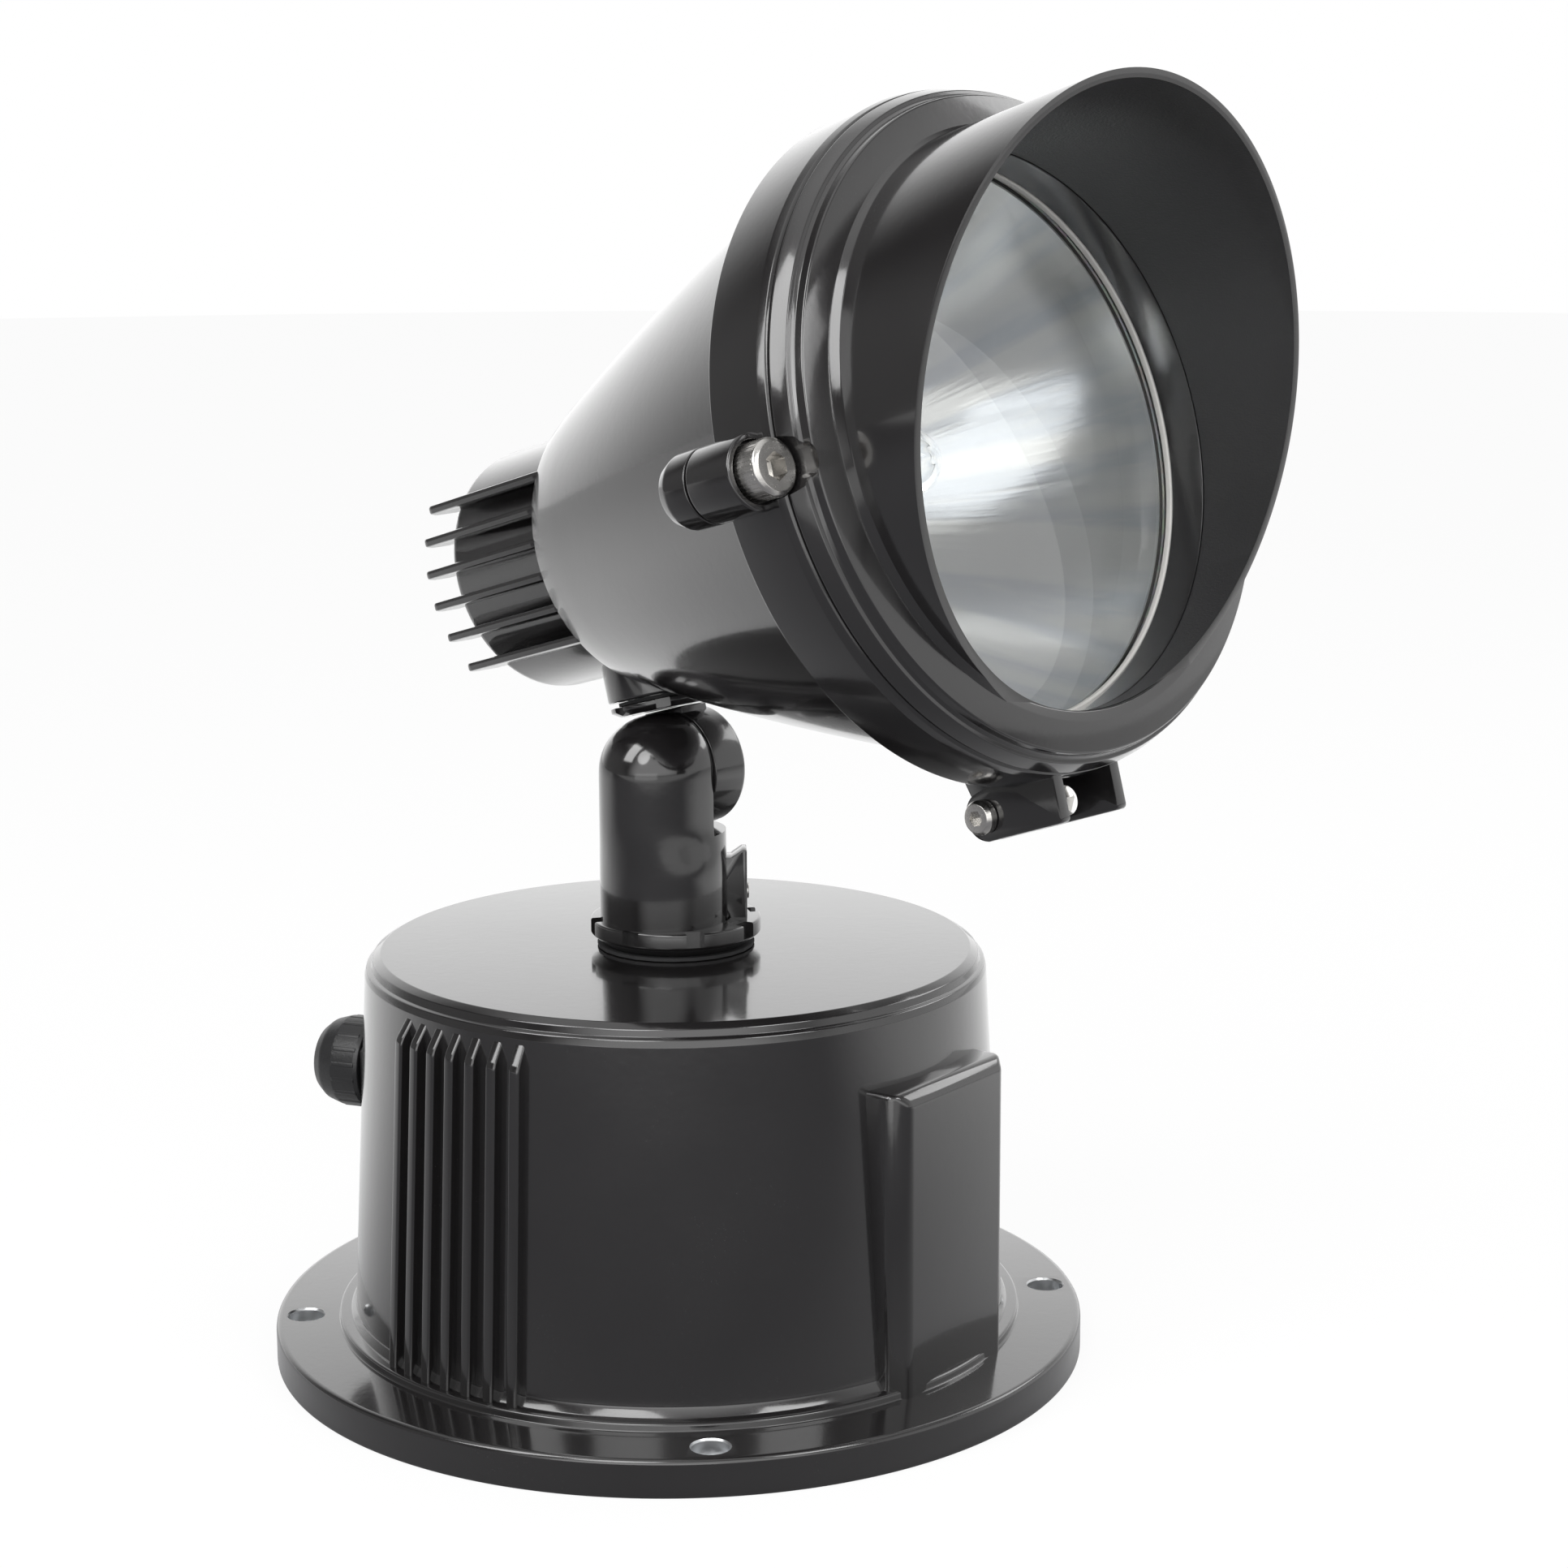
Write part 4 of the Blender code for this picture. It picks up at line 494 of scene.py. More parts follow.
def piece(name, shape, place, finish, slot, body, *nodes, sharp=38, lined=None):
    """Hands a finished shape to the frame, in place of its CAD nodes.

    lined holds a second finish, and a test of the points that it covers.
    """
    bmesh.ops.transform(shape, matrix=place, verts=shape.verts)
    bmesh.ops.remove_doubles(shape, verts=shape.verts, dist=1e-7)
    mesh = bpy.data.meshes.new(name)
    shape.to_mesh(mesh)
    shape.free()
    mesh.materials.append(finish)
    if lined:
        mesh.materials.append(lined[0])
        for face in mesh.polygons:
            face.material_index = 1 if lined[1](place.inverted() @ face.center) else 0
    mesh.shade_smooth()
    mesh.set_sharp_from_angle(angle=math.radians(sharp))
    obj = bpy.data.objects.new(name, mesh)
    bpy.context.scene.collection.objects.link(obj)
    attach(obj, body)
    if nodes:
        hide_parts(*nodes)


def arc_points(center, radius, start, end, count):
    """Points on an arc in the (x, z) plane, from one angle to another."""
    turns = [math.radians(start + (end - start) * index / (count - 1)) for index in range(count)]
    return [(center[0] + radius * math.cos(turn), center[1] + radius * math.sin(turn))
            for turn in turns]


# Gear box

WALL_LOW, WALL_HIGH = 14.0, 120.5
WALL_FOOT, WALL_HEAD = 100.5, 94.8
FLANGE_R, FLANGE_TOP, BOX_TOP = 125, 11.5, 126.5
HOLE_RING, HOLE_AZIMUTHS = 116, (50, 140, 230, 320)
# The bare metal in the drilled holes: its heights, and how far it reaches from their axes.
METAL_LOW, METAL_HIGH, METAL_REACH = 0.2, 11.3, 6.2
RIB_COUNT, RIB_MIDDLE, RIB_PITCH, RIB_HALF, RIB_RISE = 7, -85.3, 4.5, 1.75, 3.6
PAD_FACE = 99.27
GAP = 0.3
GLAND = facing(203, 78) @ ALONG_X


def wall(z):
    """The wall's outer radius at a height."""
    return WALL_FOOT + (WALL_HEAD - WALL_FOOT) * (z - WALL_LOW) / (WALL_HIGH - WALL_LOW)


def gear_box():
    shell = turned([
        (0, 104.3), (0, FLANGE_R, 0.9), (FLANGE_TOP, FLANGE_R, 1.8), (FLANGE_TOP, 105.5, 0.5),
        (WALL_LOW, 105.5, 0.9), (WALL_LOW, 101.9, 0.6), (16.6, 100.4, 2.6),
        (WALL_HIGH, WALL_HEAD, 1.2), (122.6, 94.2, 0.8), (123.0, 92.9, 0.35),
        (125.1, 92.3, 0.9), (BOX_TOP, 89.9, 1.0), (BOX_TOP, 12.0), (121.5, 12.0),
        (121.5, 88.0), (118.5, 91.0), (14.0, 96.5), (7.2, 96.4), (7.2, 104.3)], 256)
    sinks = [moved(turned([(-1, 0), (-1, 3.3), (6.5, 3.3, 0.2), (6.5, 5.5), (10.9, 5.5, 0.3),
                           (12.5, 6.6), (12.5, 0)], 48), round_at(HOLE_RING, azimuth))
             for azimuth in HOLE_AZIMUTHS]
    shell = carved(shell, *sinks)
    pad = moved(turned([(91, 0), (91, 15.8), (PAD_FACE, 15.8, 0.8), (PAD_FACE, 0)], 64), GLAND)

    def drilled(point):
        return METAL_LOW < point.z < METAL_HIGH and any(
            (point - round_at(HOLE_RING, azimuth, point.z).translation).length < METAL_REACH
            for azimuth in HOLE_AZIMUTHS)
    piece("gear_box_casting", joined(shell, bulge(), pad, *ribs()), BASE, PAINT,
          "black_powder_coat", "base", "gear_box", lined=(CAN, drilled))


def ribs():
    """Cooling ribs, which fade into the wall at their heads."""
    outline = [(wall(13) - 2, 13), (wall(13) + RIB_RISE, 13, 1.5),
               (wall(113) + RIB_RISE, 113, 6.0),
               (wall(119.5) - 0.4, 119.5, 1.0), (wall(119.5) - 2, 119)]
    middle = (RIB_COUNT - 1) / 2
    return [moved(slab(outline, -RIB_HALF, RIB_HALF, 1.65, 6, 4),
                  facing(RIB_MIDDLE + (index - middle) * RIB_PITCH)) for index in range(RIB_COUNT)]


def bulge():
    """The terminal block's bay, with chamfered edges all round."""
    half, face, cheek, brow, foot, top = 27.8, 104.4, 4.6, 2.9, 9.0, 102.6
    plan = [(86, -half), (face - cheek, -half), (face, -half + cheek), (face, half - cheek),
            (face - cheek, half), (86, half)]
    bm = bmesh.new()
    raise_face(bm, [(x, y, foot) for x, y in plan], (0, 0, top - foot))
    bmesh.ops.edgeloop_fill(bm, edges=sliced(bm, (face, 0, top - brow), Vector((1, 0, 1))))
    bmesh.ops.recalc_face_normals(bm, faces=bm.faces)
    return moved(ease(bm, 1.5, 4), facing(6.7))


def base_fittings():
    piece("bottom_cover", turned([
        (0, 0), (0, 88.5, 1.0), (3.4, 90.9, 1.0), (3.4, 104.0, 0.2), (5.4, 104.0, 0.2),
        (5.4, 89.9, 1.0), (2.0, 87.5, 1.0), (2.0, 0)]),
        BASE, ZINC, "zinc_plated_steel", "base", "base_plate")
    for index in range(4):
        screw = moved(cross_head(2.2, 3.4, 8.0), round_at(99.5, 5 + 90 * index, 3.1))
        piece(f"cover_screw_{index + 1}", screw, BASE, SCREW_STEEL, "stainless_steel", "base",
              f"base_plate_screw_{index + 1}")


def cross_head(head, radius, length):
    """A pan head with a cross recess, head down, shank up."""
    solid = turned([(-head, 0), (-head, radius * 0.8, 0.5), (-head * 0.5, radius, 0.4),
                    (0, radius, 0.1), (0, 1.7), (length - 0.8, 1.7), (length, 0.9),
                    (length, 0)], 40)
    for x, y in ((radius * 0.55, 0.45), (0.45, radius * 0.55)):
        solid = carved(solid, block((-x, -y, -head - 1), (x, y, -head + 1.1)))
    return solid


def gland():
    seat = PAD_FACE + GAP
    low = seat + 4.5 + GAP
    body = joined(
        turned([(seat - 16, 6.6), (seat - 16, 9.7, 0.4), (seat + 12, 9.7, 0.3),
                (seat + 12, 6.6)], 64),
        ease(turned([(seat, 8.2), (seat, 14.4), (seat + 4.5, 14.4), (seat + 4.5, 8.2)], 6), 0.6))
    dome = turned([
        (low, 10.0), (low, 13.9, 0.5), (low + 1.5, 14.4, 0.5), (low + 9.5, 14.4, 2.0),
        (low + 14.2, 13.0, 4.0), (low + 17.4, 10.4, 3.0), (low + 19, 7.4, 1.0),
        (low + 19, 5.5, 0.4), (low + 15, 5.5), (low + 10.1, 10.0)], 96)
    grip = [(13.6, low + 1.2), (14.55, low + 1.2, 0.4), (14.55, low + 9.0, 0.8),
            (13.6, low + 11.0)]
    grips = [moved(slab(grip, -0.8, 0.8, 0.3), share_turn(index, 18)) for index in range(18)]
    seal = turned([(seat, 4.0), (seat, 6.3), (low + 11.5, 6.3, 0.3), (low + 11.5, 4.0, 0.4)], 64)
    piece("gland_body_moulding", moved(body, GLAND), BASE, NYLON, "black_nylon", "base",
          "gland_body")
    piece("gland_dome_nut", moved(joined(dome, *grips), GLAND), BASE, NYLON, "black_nylon",
          "base", "gland_nut")
    piece("gland_seal_ring", moved(seal, GLAND), BASE, RUBBER, "black_rubber", "base",
          "gland_seal")


# Knuckle

PIVOT = 181.0
LUG_AZIMUTH = 46
LOCK_SCREW = facing(LUG_AZIMUTH, 143) @ ALONG_X
NECK_X, NECK_PIVOT = -138.9, -69.2
NECK = at(NECK_X, 0, 0)


def lower_arm():
    """The post, round below, which narrows into its bullet-shaped half of the joint."""
    foot, radius, crown, oval = 134.9, 19.3, 17.4, 0.93
    thin, deep = 17.45 / radius, 20.6 / radius
    narrow_from, narrow_to = 150.0, 167.0
    turns = [math.radians(step) for step in range(0, 90, 5)]
    dome = [(PIVOT + crown * math.sin(turn) ** oval, radius * math.cos(turn) ** oval)
            for turn in turns]
    sides = [(z, radius) for z in range(148, 178, 3)]
    post = turned([(foot, 0), (foot, radius, 0.5), *sides, *dome, (PIVOT + crown, 0)], 96)
    for vert in post.verts:
        share = min(max((vert.co.z - narrow_from) / (narrow_to - narrow_from), 0), 1)
        share = share * share * (3 - 2 * share)
        vert.co.x *= 1 + (thin - 1) * share
        vert.co.y *= 1 + (deep - 1) * share
    post = carved(moved(post, at(0, -5, 0)), block((-30, -0.15, 162.6), (30, 30, 210)))
    neck = turned([(112.0, 7.0), (112.0, 11.5, 0.4), (128.1, 11.5), (128.1, 16.8),
                   (136, 16.8), (136, 7.0)], 64)
    lug = moved(slab([
        (10, foot), (21.8, foot, 0.6), (21.8, 156.4, 0.9), (20.4, 156.4, 0.5),
        (17.0, 154.0, 1.0), (10, 154.0)], -4.5, 4.5, 0.7), facing(LUG_AZIMUTH))
    bore = moved(rod(15.8, 30, 2.8, 32), LOCK_SCREW)
    piece("knuckle_post", joined(post, neck, carved(lug, bore)), BASE, PAINT,
          "black_powder_coat", "knuckle", "lower_arm")


def lock_ring():
    low, high = 128.1, 135.5
    ring = turned([(low, 17.2), (low, 22.5, 0.6), (low + 3.0, 26, 0.8), (high, 26, 0.7),
                   (high, 17.2, 0.3)], 128)
    notches = [moved(block((22.8, -2.8, high - 4.2), (28, 2.8, high + 1)), facing(index * 45 + 14))
               for index in range(8)]
    piece("castle_ring", carved(ring, *notches), BASE, PAINT, "black_powder_coat",
          "knuckle", "lower_lock_ring")


def knuckle_screws():
    place = at(0, 0, PIVOT) @ ALONG_Y
    head = carved(turned([(14.3, 0), (14.3, 6.5, 0.3), (16.2, 6.5, 0.6), (18.3, 4.6, 1.4),
                          (18.3, 0)], 64), rod(15.5, 20, 2.8, 6))
    shank = turned([(-12, 0), (-12, 3.4), (-11.4, 4), (14.4, 4), (14.4, 0)], 48)
    piece("pivot_cap_screw", moved(joined(head, shank), place), BASE, STAINLESS, "stainless_steel",
          "knuckle", "pivot_bolt")
    grub = carved(turned([(16.4, 0), (16.4, 2.5, 0.2), (22.4, 2.5, 0.4), (22.4, 0)], 32),
                  rod(20.6, 24, 1.3, 6))
    piece("pan_grub_screw", moved(grub, LOCK_SCREW), BASE, SCREW_STEEL,
          "stainless_steel", "knuckle", "pan_lock_screw")


def upper_arm():
    """The head's disc of the joint, its threaded neck and the nut on that."""
    disc = moved(turned([(0.15, 0), (0.15, 18.0, 0.3), (12.4, 18.0, 2.0), (14.0, 16.0, 1.5),
                         (14, 0)], 96), at(NECK_X, 0, NECK_PIVOT) @ ALONG_Y)
    neck = moved(turned([(-50.9, 5.0), (-50.9, 9.0), (-30, 9.0, 0.5), (-30, 5.0)], 64), NECK)
    web = block((NECK_X - 8.5, 0.15, -67.2), (NECK_X + 8.5, 10.5, -51.2), 0.4)
    piece("upper_knuckle", joined(disc, neck, web), HEAD, PAINT, "black_powder_coat",
          "head", "upper_arm")
    nut = turned([(-50.9, 9.3), (-50.9, 12.6, 0.4), (-49.4, 15.2, 0.5), (-48.0, 15.2, 0.3),
                  (-48.0, 9.3)], 96)
    cuts = [moved(block((12.9, -2.2, -51.5), (17, 2.2, -47.5)), facing(index * 60 + 20))
            for index in range(6)]
    piece("upper_castle_nut", moved(carved(nut, *cuts), NECK), HEAD, PAINT,
          "black_powder_coat", "head", "upper_lock_nut")


# Lamp housing

CONE_BACK, CONE_FRONT = -132, -2
CONE_SMALL, CONE_LARGE, CONE_SWELL = 44.3, 87.0, 1.7
CASTING = 3.3
RIM_R = 77.4
FIN_COUNT, FIN_TOP, FIN_PITCH, FIN_HALF = 6, 22.6, 9.8, 1.3
FIN_REACH, FIN_ROOT = 44.5, 36
CLAMP_Y, CLAMP_Z = 96.4, -3
HINGE_X, HINGE_Z, HINGE_R = -7, -99.9, 7
HINGE = at(HINGE_X, 0, HINGE_Z) @ ALONG_Y


def cone(x):
    """The housing's outer radius, which swells a little halfway."""
    share = (x - CONE_BACK) / (CONE_FRONT - CONE_BACK)
    swell = CONE_SWELL * math.sin(math.pi * min(max(share, 0), 1))
    return CONE_SMALL + (CONE_LARGE - CONE_SMALL) * share + swell


def housing():
    outer = [(-178, 0), (-178, 37.3, 3.0), (-132.4, 37.3, 0.4), (CONE_BACK, 42.9, 0.3),
             (-130.6, 44.4, 1.4), *[(x, cone(x)) for x in range(-122, -1, 10)]]
    rim = [(-2, 86.0), (1.2, 86.0, 0.3), (1.2, 84.7), (-1.0, 84.7), (-1.0, 82.4), (1.2, 82.4),
           (1.2, 79.6), (-1.6, 79.6), (-1.6, RIM_R), (-5.0, RIM_R)]
    inner = [(x, cone(x) - CASTING) for x in (-12, -30, -50, -70, -90, -110, -126)]
    tail = [(-126, 34.0), (-174.7, 34.0), (-174.7, 0)]
    shell = moved(turned(outer + rim + inner + tail, 224), ALONG_X)
    boss = moved(turned([(-46.4, 9.6), (-46.4, 15.5, 0.7), (-34, 15.5, 0.5), (-34, 9.6)], 80), NECK)
    piece("lamp_housing_casting", joined(shell, *fins(), *clamp_bosses(), hinge_lug(), boss),
          HEAD, PAINT, "black_powder_coat", "head", "lamp_housing")


def fins():
    """The tail cap's fins: level plates, in a pair at each height."""
    shapes = []
    for index in range(FIN_COUNT):
        z = FIN_TOP - index * FIN_PITCH
        reach = math.sqrt(FIN_REACH ** 2 - z ** 2)
        root = math.sqrt(FIN_ROOT ** 2 - z ** 2)
        front = -127.5 + 0.55 * abs(index - 1)
        outline = [
            (front, root), (front, reach * 0.985, 1.0), (front - 5.0, reach, 2.5),
            (-182, reach, 3.4), (-185, reach - 5.0, 1.5), (-183.4, root - 2.0, 0.8),
            (-179.5, root - 2.5, 0.8), (-170, root)]
        for side in (-90, 90):
            flat = at(0, 0, z) @ Matrix.Rotation(math.radians(side), 4, "X")
            shapes.append(moved(slab(outline, -FIN_HALF, FIN_HALF, 0.75), flat))
    return shapes


def clamp_place(side):
    """A clamp screw's axis; side is -1 on the left and 1 on the right."""
    return at(0, side * CLAMP_Y, CLAMP_Z) @ ALONG_X


def clamp_bosses():
    shapes = []
    for side in (-1, 1):
        boss = turned([
            (-10.2, 0), (-13.9, 0, 0.1), (-13.0, 5.5, 1.5), (-11.2, 8.8, 2.0), (-8.0, 10.1, 3.0),
            (-0.3, 10.1, 0.4), (-0.3, 4.6), (-10.2, 4.6)], 80)
        low_y, high_y = sorted((side * 80.5, side * CLAMP_Y))
        shapes += [moved(boss, clamp_place(side)),
                   block((-11.5, low_y, -10.8), (-1.4, high_y, 4.8), 0.9)]
    return shapes


def hinge_lug():
    outline = [(-1.5, -81.5), (-1.5, -97.0),
               *arc_points((HINGE_X, HINGE_Z), HINGE_R, -10, -170, 14),
               (-14.0, -95.9, 2.0), (-18.0, -83.5), (-18, -81.5)]
    return carved(slab(outline, -9.6, 9.6, 0.6), moved(rod(-20, 20, 3.3, 48), HINGE))


def hinge_bolt():
    head = carved(turned([(-17.8, 0), (-17.8, 4.0, 0.5), (-16.6, 4.8, 0.5), (-14.3, 4.8, 0.2),
                          (-14.3, 0)], 64), rod(-20, -15.5, 2.3, 6))
    shank = turned([(-14.4, 0), (-14.4, 3), (18.4, 3, 0.4), (18.4, 0)], 40)
    nut = carved(ease(rod(14.3, 17.9, 5.8, 6), 0.35, 2), rod(13, 19, 3.3, 40))
    piece("hinge_cap_screw", moved(joined(head, shank), HINGE), HEAD, STAINLESS,
          "stainless_steel", "head", "hinge_bolt")
    piece("hinge_hex_nut", moved(nut, HINGE), HEAD, STAINLESS, "stainless_steel", "head",
          "hinge_nut")


# Glass frame and hood

HOOD_TIP = Vector((55.5, 0, 0))
HOOD_SLANT = Vector((1, 0, -0.352)).normalized()


def screw_scallops():
    """The room that the clamp screws' heads take out of a ring."""
    return [moved(rod(13.3, 42, 8.3, 64), clamp_place(side)) for side in (-1, 1)]


def glass_frame():
    ring = moved(turned([
        (0, 87.3, 0.3), (0, 93.9, 0.7), (17.6, 93.9, 1.5), (20.0, 93.3, 0.6), (20.5, 92.4, 0.4),
        (20.5, RIM_R, 0.2), (9.5, RIM_R, 0.2), (9.5, 82.0), (3.9, 82.0), (3.9, 82.9),
        (2.3, 82.9), (2.3, 82.0), (1.5, 82.0), (1.5, 87.3)], 224), ALONG_X)
    parts = [carved(ring, *screw_scallops())]
    for side in (-1, 1):
        sleeve = turned([(0.3, 4.6), (0.3, 10.1, 0.6), (16.0, 10.1, 0.7), (16.0, 8.3, 0.3),
                         (13.3, 8.3), (13.3, 4.6)], 96)
        parts += [moved(sleeve, clamp_place(side)), frame_ear(side)]
    piece("glass_frame_casting", joined(*parts), HEAD, PAINT, "black_powder_coat", "door",
          "glass_frame")


def frame_ear(side):
    """A hinge ear; the one on the right has a second, wider hole."""
    outline = [(19.5, -90.5), (19.5, -105.3, 1.6),
               *arc_points((HINGE_X, HINGE_Z), HINGE_R, 265, 115, 16), (0.5, -90.5)]
    holes = [moved(rod(-20, 20, 3.3, 40), HINGE)]
    if side > 0:
        holes.append(moved(rod(8, 16, 4.2, 48), at(1.8, 0, -100.3) @ ALONG_Y))
    return carved(slab(outline, side * 12 - 2, side * 12 + 2, 0.6), *holes)


def hood():
    """A whole ring at the foot, and a tube that is cut off at a slant."""
    ring = moved(turned([
        (20.8, 77.7), (20.8, 91.9, 0.3), (21.2, 93.1, 0.5), (25.7, 91.2, 0.5), (25.9, 90.0, 0.4),
        (26.8, 89.4, 0.6), (29.2, 89.0, 0.7), (30.5, 80.6, 0.8), (30.0, 77.7, 0.5)], 224, 5),
        ALONG_X)
    tube = moved(turned([
        (21.5, RIM_R), (21.5, 79.8), (27, 82.5), (30.6, 80.8, 0.8), (33.0, 79.8, 1.5), (92, 79.8),
        (92, RIM_R), (60, RIM_R), (40, RIM_R)], 224, 5), ALONG_X)
    bmesh.ops.bridge_loops(tube, edges=sliced(tube, HOOD_TIP, HOOD_SLANT))
    bmesh.ops.recalc_face_normals(tube, faces=tube.faces)
    lip = [edge for edge in folds(tube, 50)
           if all(abs((vert.co - HOOD_TIP).dot(HOOD_SLANT)) < 0.05 for vert in edge.verts)]
    bevel(tube, lip, 0.7, 3)

    def inside(point):
        return math.hypot(point.y, point.z) < RIM_R + 0.5
    piece("hood_casting", joined(tube, carved(ring, *screw_scallops())), HEAD, PAINT,
          "hood_paint", "door", "hood", lined=(LINING, inside))


def glazing():
    rings = (
        ("front_window", 192, [(3.9, 0), (3.9, 81.7, 0.4), (7.4, 81.7, 0.4), (7.4, 0)],
         PANE, "clear_glass", "door", "front_glass"),
        ("window_seal", 192, [(7.5, 76.7, 0.5), (7.5, 81.7), (9.3, 81.7), (9.3, 76.9, 0.5)],
         SILICONE, "silicone_seal", "door", "glass_gasket"),
        ("rim_seal", 192, [(-0.7, 82.7), (-0.7, 84.4), (1.2, 84.4, 0.6), (1.2, 82.7, 0.6)],
         SILICONE, "silicone_seal", "head", "front_gasket"),
        ("window_clip", ROUND, [(2.6, 78.6), (2.6, 82.6), (3.6, 82.6), (3.6, 78.6)],
         ZINC, "zinc_plated_steel", "door", "glass_snap_ring"))
    for name, steps, outline, *rest in rings:
        piece(name, moved(turned(outline, steps), ALONG_X), HEAD, *rest)


def clamp_screws():
    for name, side in (("left", -1), ("right", 1)):
        head = carved(
            turned([(13.6, 0), (13.6, 7.5, 0.3), (22.2, 7.5, 0.8), (22.9, 6.3, 0.6),
                    (22.9, 0)], 72),
            ease(rod(17.9, 24, 3.8, 6), 0.1, 1))
        knurl = [moved(block((7.35, -0.22, 14.2), (7.62, 0.22, 21.4)), share_turn(index, 36))
                 for index in range(36)]
        shank = turned([(-9, 0), (-9, 3.1), (-8.2, 3.9), (13.7, 3.9), (13.7, 0)], 40)
        piece(f"clamp_cap_screw_{name}", moved(joined(head, shank, *knurl), clamp_place(side)),
              HEAD, STAINLESS, "stainless_steel", f"clamp_{name}", f"clamp_screw_{name}")


# Optics

DISH = 94.0
THROAT_R = 21


def optics():
    """The reflector: a parabola x = r * r / DISH, with a throat and a flat rim."""
    front = -0.3
    apex = front - 0.5 - 75.8 ** 2 / DISH
    radii = [RIM_R + (THROAT_R - RIM_R) * step / 28 for step in range(29)]
    bowl = [(apex + radius ** 2 / DISH, radius) for radius in radii]
    back = apex + THROAT_R ** 2 / DISH - 3.5
    shell = [(x - 0.9, radius + 0.5) for x, radius in reversed(bowl)]
    outline = [
        *bowl, (back + 1, THROAT_R), (back + 1, 18), (back, 18), (back, 30), (back + 1, 30),
        (back + 1, 22), *[point for point in shell if point[0] < front - 1.4],
        (front - 1, 76.8), (front - 1, 78.9), (front, 78.9), (front, 78.2, 0.2),
        (bowl[0][0] + 0.1, 78.0, 0.2)]

    def throat(point):
        return math.hypot(point.y, point.z) < THROAT_R - 0.5
    piece("spun_reflector", moved(turned(outline, 224), ALONG_X), HEAD, MIRROR,
          "polished_aluminium", "head", "reflector", sharp=30, lined=(ZINC, throat))


def lamp():
    base = moved(turned([(-97.7, 0), (-97.7, 12.5, 0.4), (-73, 12.5, 0.8), (-72, 11.0, 0.4),
                         (-72, 0)], 72), ALONG_X)
    pinch = block((-74, -5.5, -2.2), (-62, 5.5, 2.2), 0.8)
    bulb = turned([(-72, 8.4), (-72, 9.5), *arc_points((-21.5, 0), 9.5, 90, 10, 9), (-12, 0),
                   (-13.2, 0), *arc_points((-22.4, 0), 8.4, 10, 90, 9)], 72)
    arc = turned([(-52, 0), (-52, 1.4, 0.3), (-47, 1.6, 1.0), (-44.5, 4.2, 1.5),
                  (-35.5, 4.2, 1.5), (-33, 1.6, 1.0), (-28, 1.4, 0.3), (-28, 0)], 40)
    leads = [moved(rod(-64, end, 0.45, 12), at(0, y, 0) @ ALONG_X)
             for y, end in ((4.6, -26.5), (-2.6, -50.0))]
    leads.append(moved(rod(-0.5, 5.0, 0.45, 12), at(-27, 0, 0) @ ALONG_Y))
    holder = turned([(-123.9, 0), (-123.9, 17, 0.6), (-96.2, 17, 0.8), (-95, 15.6, 0.4),
                     (-95, 13.3), (-98, 13.3), (-98, 0)], 72)
    piece("lamp_base", joined(base, pinch), HEAD, CERAMIC, "white_ceramic", "head")
    piece("quartz_envelope", moved(bulb, ALONG_X), HEAD, QUARTZ, "clear_glass", "head",
          "discharge_lamp")
    piece("arc_tube", moved(arc, ALONG_X), HEAD, CERAMIC, "white_ceramic", "head")
    piece("lamp_leads", joined(*leads), HEAD, SCREW_STEEL, "stainless_steel", "head")
    piece("lamp_socket", moved(holder, ALONG_X), HEAD, CERAMIC, "white_ceramic", "head",
          "lampholder")


# CAD nodes that stay, with their own finishes

def refinish():
    kept = {
        RUBBER: ("base_gasket", "pan_seal", "arm_seal"),
        ZINC: ("gear_tray", "ballast_strap", "stem_nut", "holder_plate",
               "reflector_pillar_1", "reflector_pillar_2", "reflector_pillar_3"),
        SCREW_STEEL: ("tray_screw_1", "tray_screw_2", "strap_screw_1", "strap_screw_2",
                      "holder_screw_1", "holder_screw_2",
                      "hood_screw_1", "hood_screw_2", "hood_screw_3", "hood_screw_4"),
        CORE: ("ballast_core",),
        COPPER: ("ballast_coil",),
        CAN: ("capacitor",),
        GREY_PLASTIC: ("ignitor",),
        NYLON: ("terminal_block", "gland_locknut"),
        BRASS: ("earth_stud",),
    }
    for finish, names in kept.items():
        for name in names:
            for slot in frame["nodes"][name].material_slots:
                slot.material = finish


# Studio

VIEW_PAN, VIEW_PITCH, VIEW_ROLL = 1.9959, 11.4391, -0.2289
VIEW_BACK, VIEW_HEIGHT, VIEW_LENS = 0.9545, 0.3691, 73.69


def camera():
    """The photograph's own viewpoint, solved from the flange and the hood."""
    turn = Matrix.Rotation(math.radians(VIEW_TURN), 3, "Z")
    pan, pitch, roll = (math.radians(angle) for angle in (VIEW_PAN, VIEW_PITCH, VIEW_ROLL))
    ahead = Vector((math.sin(pan) * math.cos(pitch), math.cos(pan) * math.cos(pitch),
                    -math.sin(pitch)))
    right = Vector((math.cos(pan), -math.sin(pan), 0))
    up = right.cross(ahead)
    across = turn @ (right * math.cos(roll) + up * math.sin(roll))
    upward = turn @ (up * math.cos(roll) - right * math.sin(roll))
    backward = turn @ -ahead
    pose = Matrix((across, upward, backward)).transposed().to_4x4()
    pose.translation = turn @ Vector((0, -VIEW_BACK, VIEW_HEIGHT))
    lens = bpy.data.cameras.new("camera")
    lens.lens = VIEW_LENS
    lens.sensor_width = 36
    lens.clip_start = 0.01
    eye = bpy.data.objects.new("camera", lens)
    eye.matrix_world = pose
    bpy.context.scene.collection.objects.link(eye)
    bpy.context.scene.camera = eye


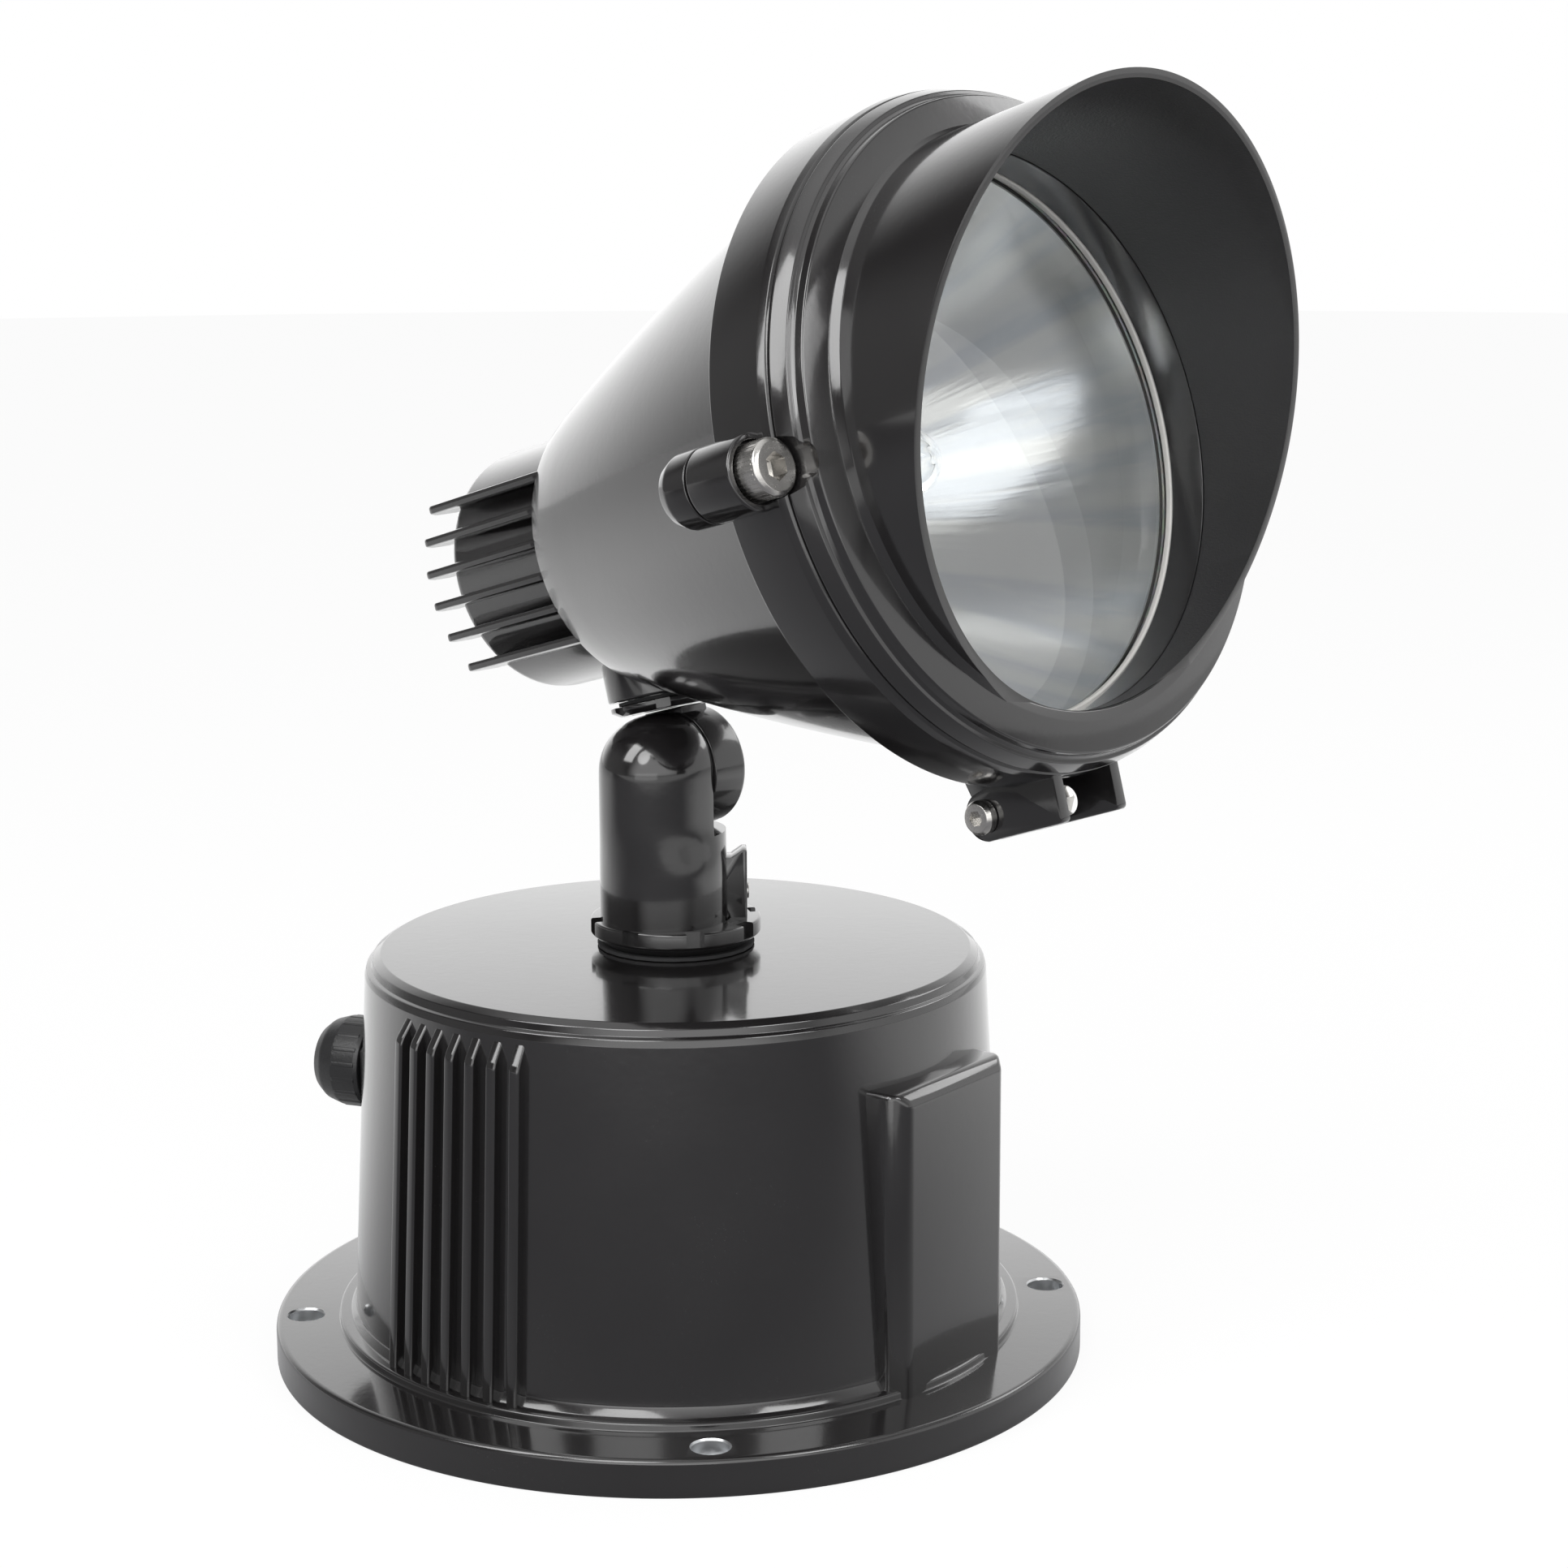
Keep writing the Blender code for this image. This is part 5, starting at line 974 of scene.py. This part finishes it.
def panel(name, spot, aim, width, height, power, shape="RECTANGLE"):
    """A soft lamp at spot, facing aim; sizes in metres, power in watts."""
    light = bpy.data.lights.new(name, "AREA")
    light.shape = shape
    light.size = width
    light.size_y = height
    light.energy = power
    obj = bpy.data.objects.new(name, light)
    obj.location = spot
    obj.rotation_euler = (Vector(aim) - Vector(spot)).to_track_quat("-Z", "Y").to_euler()
    bpy.context.scene.collection.objects.link(obj)


def around(azimuth, distance, height):
    """A place round the object: azimuth 0 is where the camera stands."""
    angle = math.radians(azimuth + VIEW_TURN - 90)
    return (distance * math.cos(angle), distance * math.sin(angle), height)


def lamps():
    panel("key_softbox", around(-56, 1.1, 1.22), (0.05, 0, 0.28), 0.55, 0.95, 8.8)
    panel("beam_softbox", around(41, 1.1, 1.0), (0.1, 0, 0.28), 0.5, 0.45, 4.4)
    panel("front_softbox", around(-20, 1.1, 1.05), (0, 0, 0.2), 0.55, 0.75, 5.2, "ELLIPSE")
    panel("right_softbox", around(118, 1.3, 1.0), (0, 0, 0.1), 0.7, 0.5, 3.2)
    panel("low_card", around(-12, 1.6, 0.17), (0, 0, 0.25), 1.25, 0.3, 0.95)


def floor():
    """White to the camera; in reflections dark, and pale behind and far in front."""
    bm = bmesh.new()
    bmesh.ops.create_circle(bm, cap_ends=True, radius=6.0, segments=96)
    mesh = bpy.data.meshes.new("floor")
    bm.to_mesh(mesh)
    bm.free()
    plane = bpy.data.objects.new("floor", mesh)
    bpy.context.scene.collection.objects.link(plane)
    ground = Finish("studio_floor", Roughness=0.9, Specular_IOR_Level=0.0)
    rays = ground.node("ShaderNodeLightPath", out="Is Camera Ray")
    x, y, _ = ground.split(ground.place(turn=(0, 0, math.radians(-VIEW_TURN))))
    speck = ground.noise(3.0, 2.0) * 0.04
    bend = ground.step(x, 0.0, 0.6) * 0.2 + ground.step(x, 0.5, 0.8) * 0.3
    behind = ground.step(y + bend, -0.25, 0.35, "SMOOTHSTEP")
    before = ground.step(y * -1.0, 0.95, 1.3)
    grey = ground.blend(y.sum("MAXIMUM", behind, before), (0.19, 0.19, 0.2), (0.9, 0.9, 0.9))
    paper = ground.blend(speck, (0.93, 0.93, 0.93), (0.8, 0.8, 0.8))
    ground.set("Base Color", ground.blend(rays, grey, paper))
    glow = ground.node("ShaderNodeEmission", {}, {"Color": WHITE, "Strength": 1.0})
    shader = Value(ground, ground.shader.outputs[0])
    share = rays * 0.9 + (1.0 - rays) * before * 0.9
    mixed = ground.node("ShaderNodeMixShader", {}, {0: share, 1: shader, 2: glow})
    ground.feed(ground.tree.nodes["Material Output"].inputs["Surface"], mixed)
    mesh.materials.append(ground.material)


def world():
    """White behind the object, bright in front, dimmer overhead and at the sides."""
    sky = bpy.data.worlds.new("studio")
    bpy.context.scene.world = sky
    sky.use_nodes = True
    air = Bench(sky.node_tree)
    x, y, z = air.split(air.node("ShaderNodeTexCoord"))
    sine, cosine = math.sin(math.radians(VIEW_TURN)), math.cos(math.radians(VIEW_TURN))
    away = x * -sine + y * cosine
    side = x * cosine + y * sine
    back = air.step(away, 0.38, 0.94, "SMOOTHSTEP")
    left = air.step(side * -1.0, 0.7, 0.95, "SMOOTHSTEP")
    top = air.step(z, 0.7, 0.92, "SMOOTHSTEP")
    right = air.step(side, 0.55, 0.9, "SMOOTHSTEP") * (1.0 - top)
    front = air.step(away * -1.0, 0.58, 0.9, "SMOOTHSTEP") * air.step(z, -0.04, 0.04)
    around_it = top * 0.85 + right * 0.9 + left * 0.2 + front * 1.7
    shade = 0.03 + back * 1.2 + (1.0 - back) * around_it
    seen = air.node("ShaderNodeLightPath", out="Is Camera Ray")
    backdrop = sky.node_tree.nodes["Background"]
    air.feed(backdrop.inputs["Strength"], seen + (1.0 - seen) * shade)
    air.feed(backdrop.inputs["Color"], WHITE)


camera()
bpy.context.scene.view_settings.view_transform = "Standard"
gear_box()
base_fittings()
gland()
lower_arm()
lock_ring()
knuckle_screws()
upper_arm()
housing()
hinge_bolt()
glass_frame()
hood()
glazing()
clamp_screws()
optics()
lamp()
refinish()
floor()
world()
lamps()
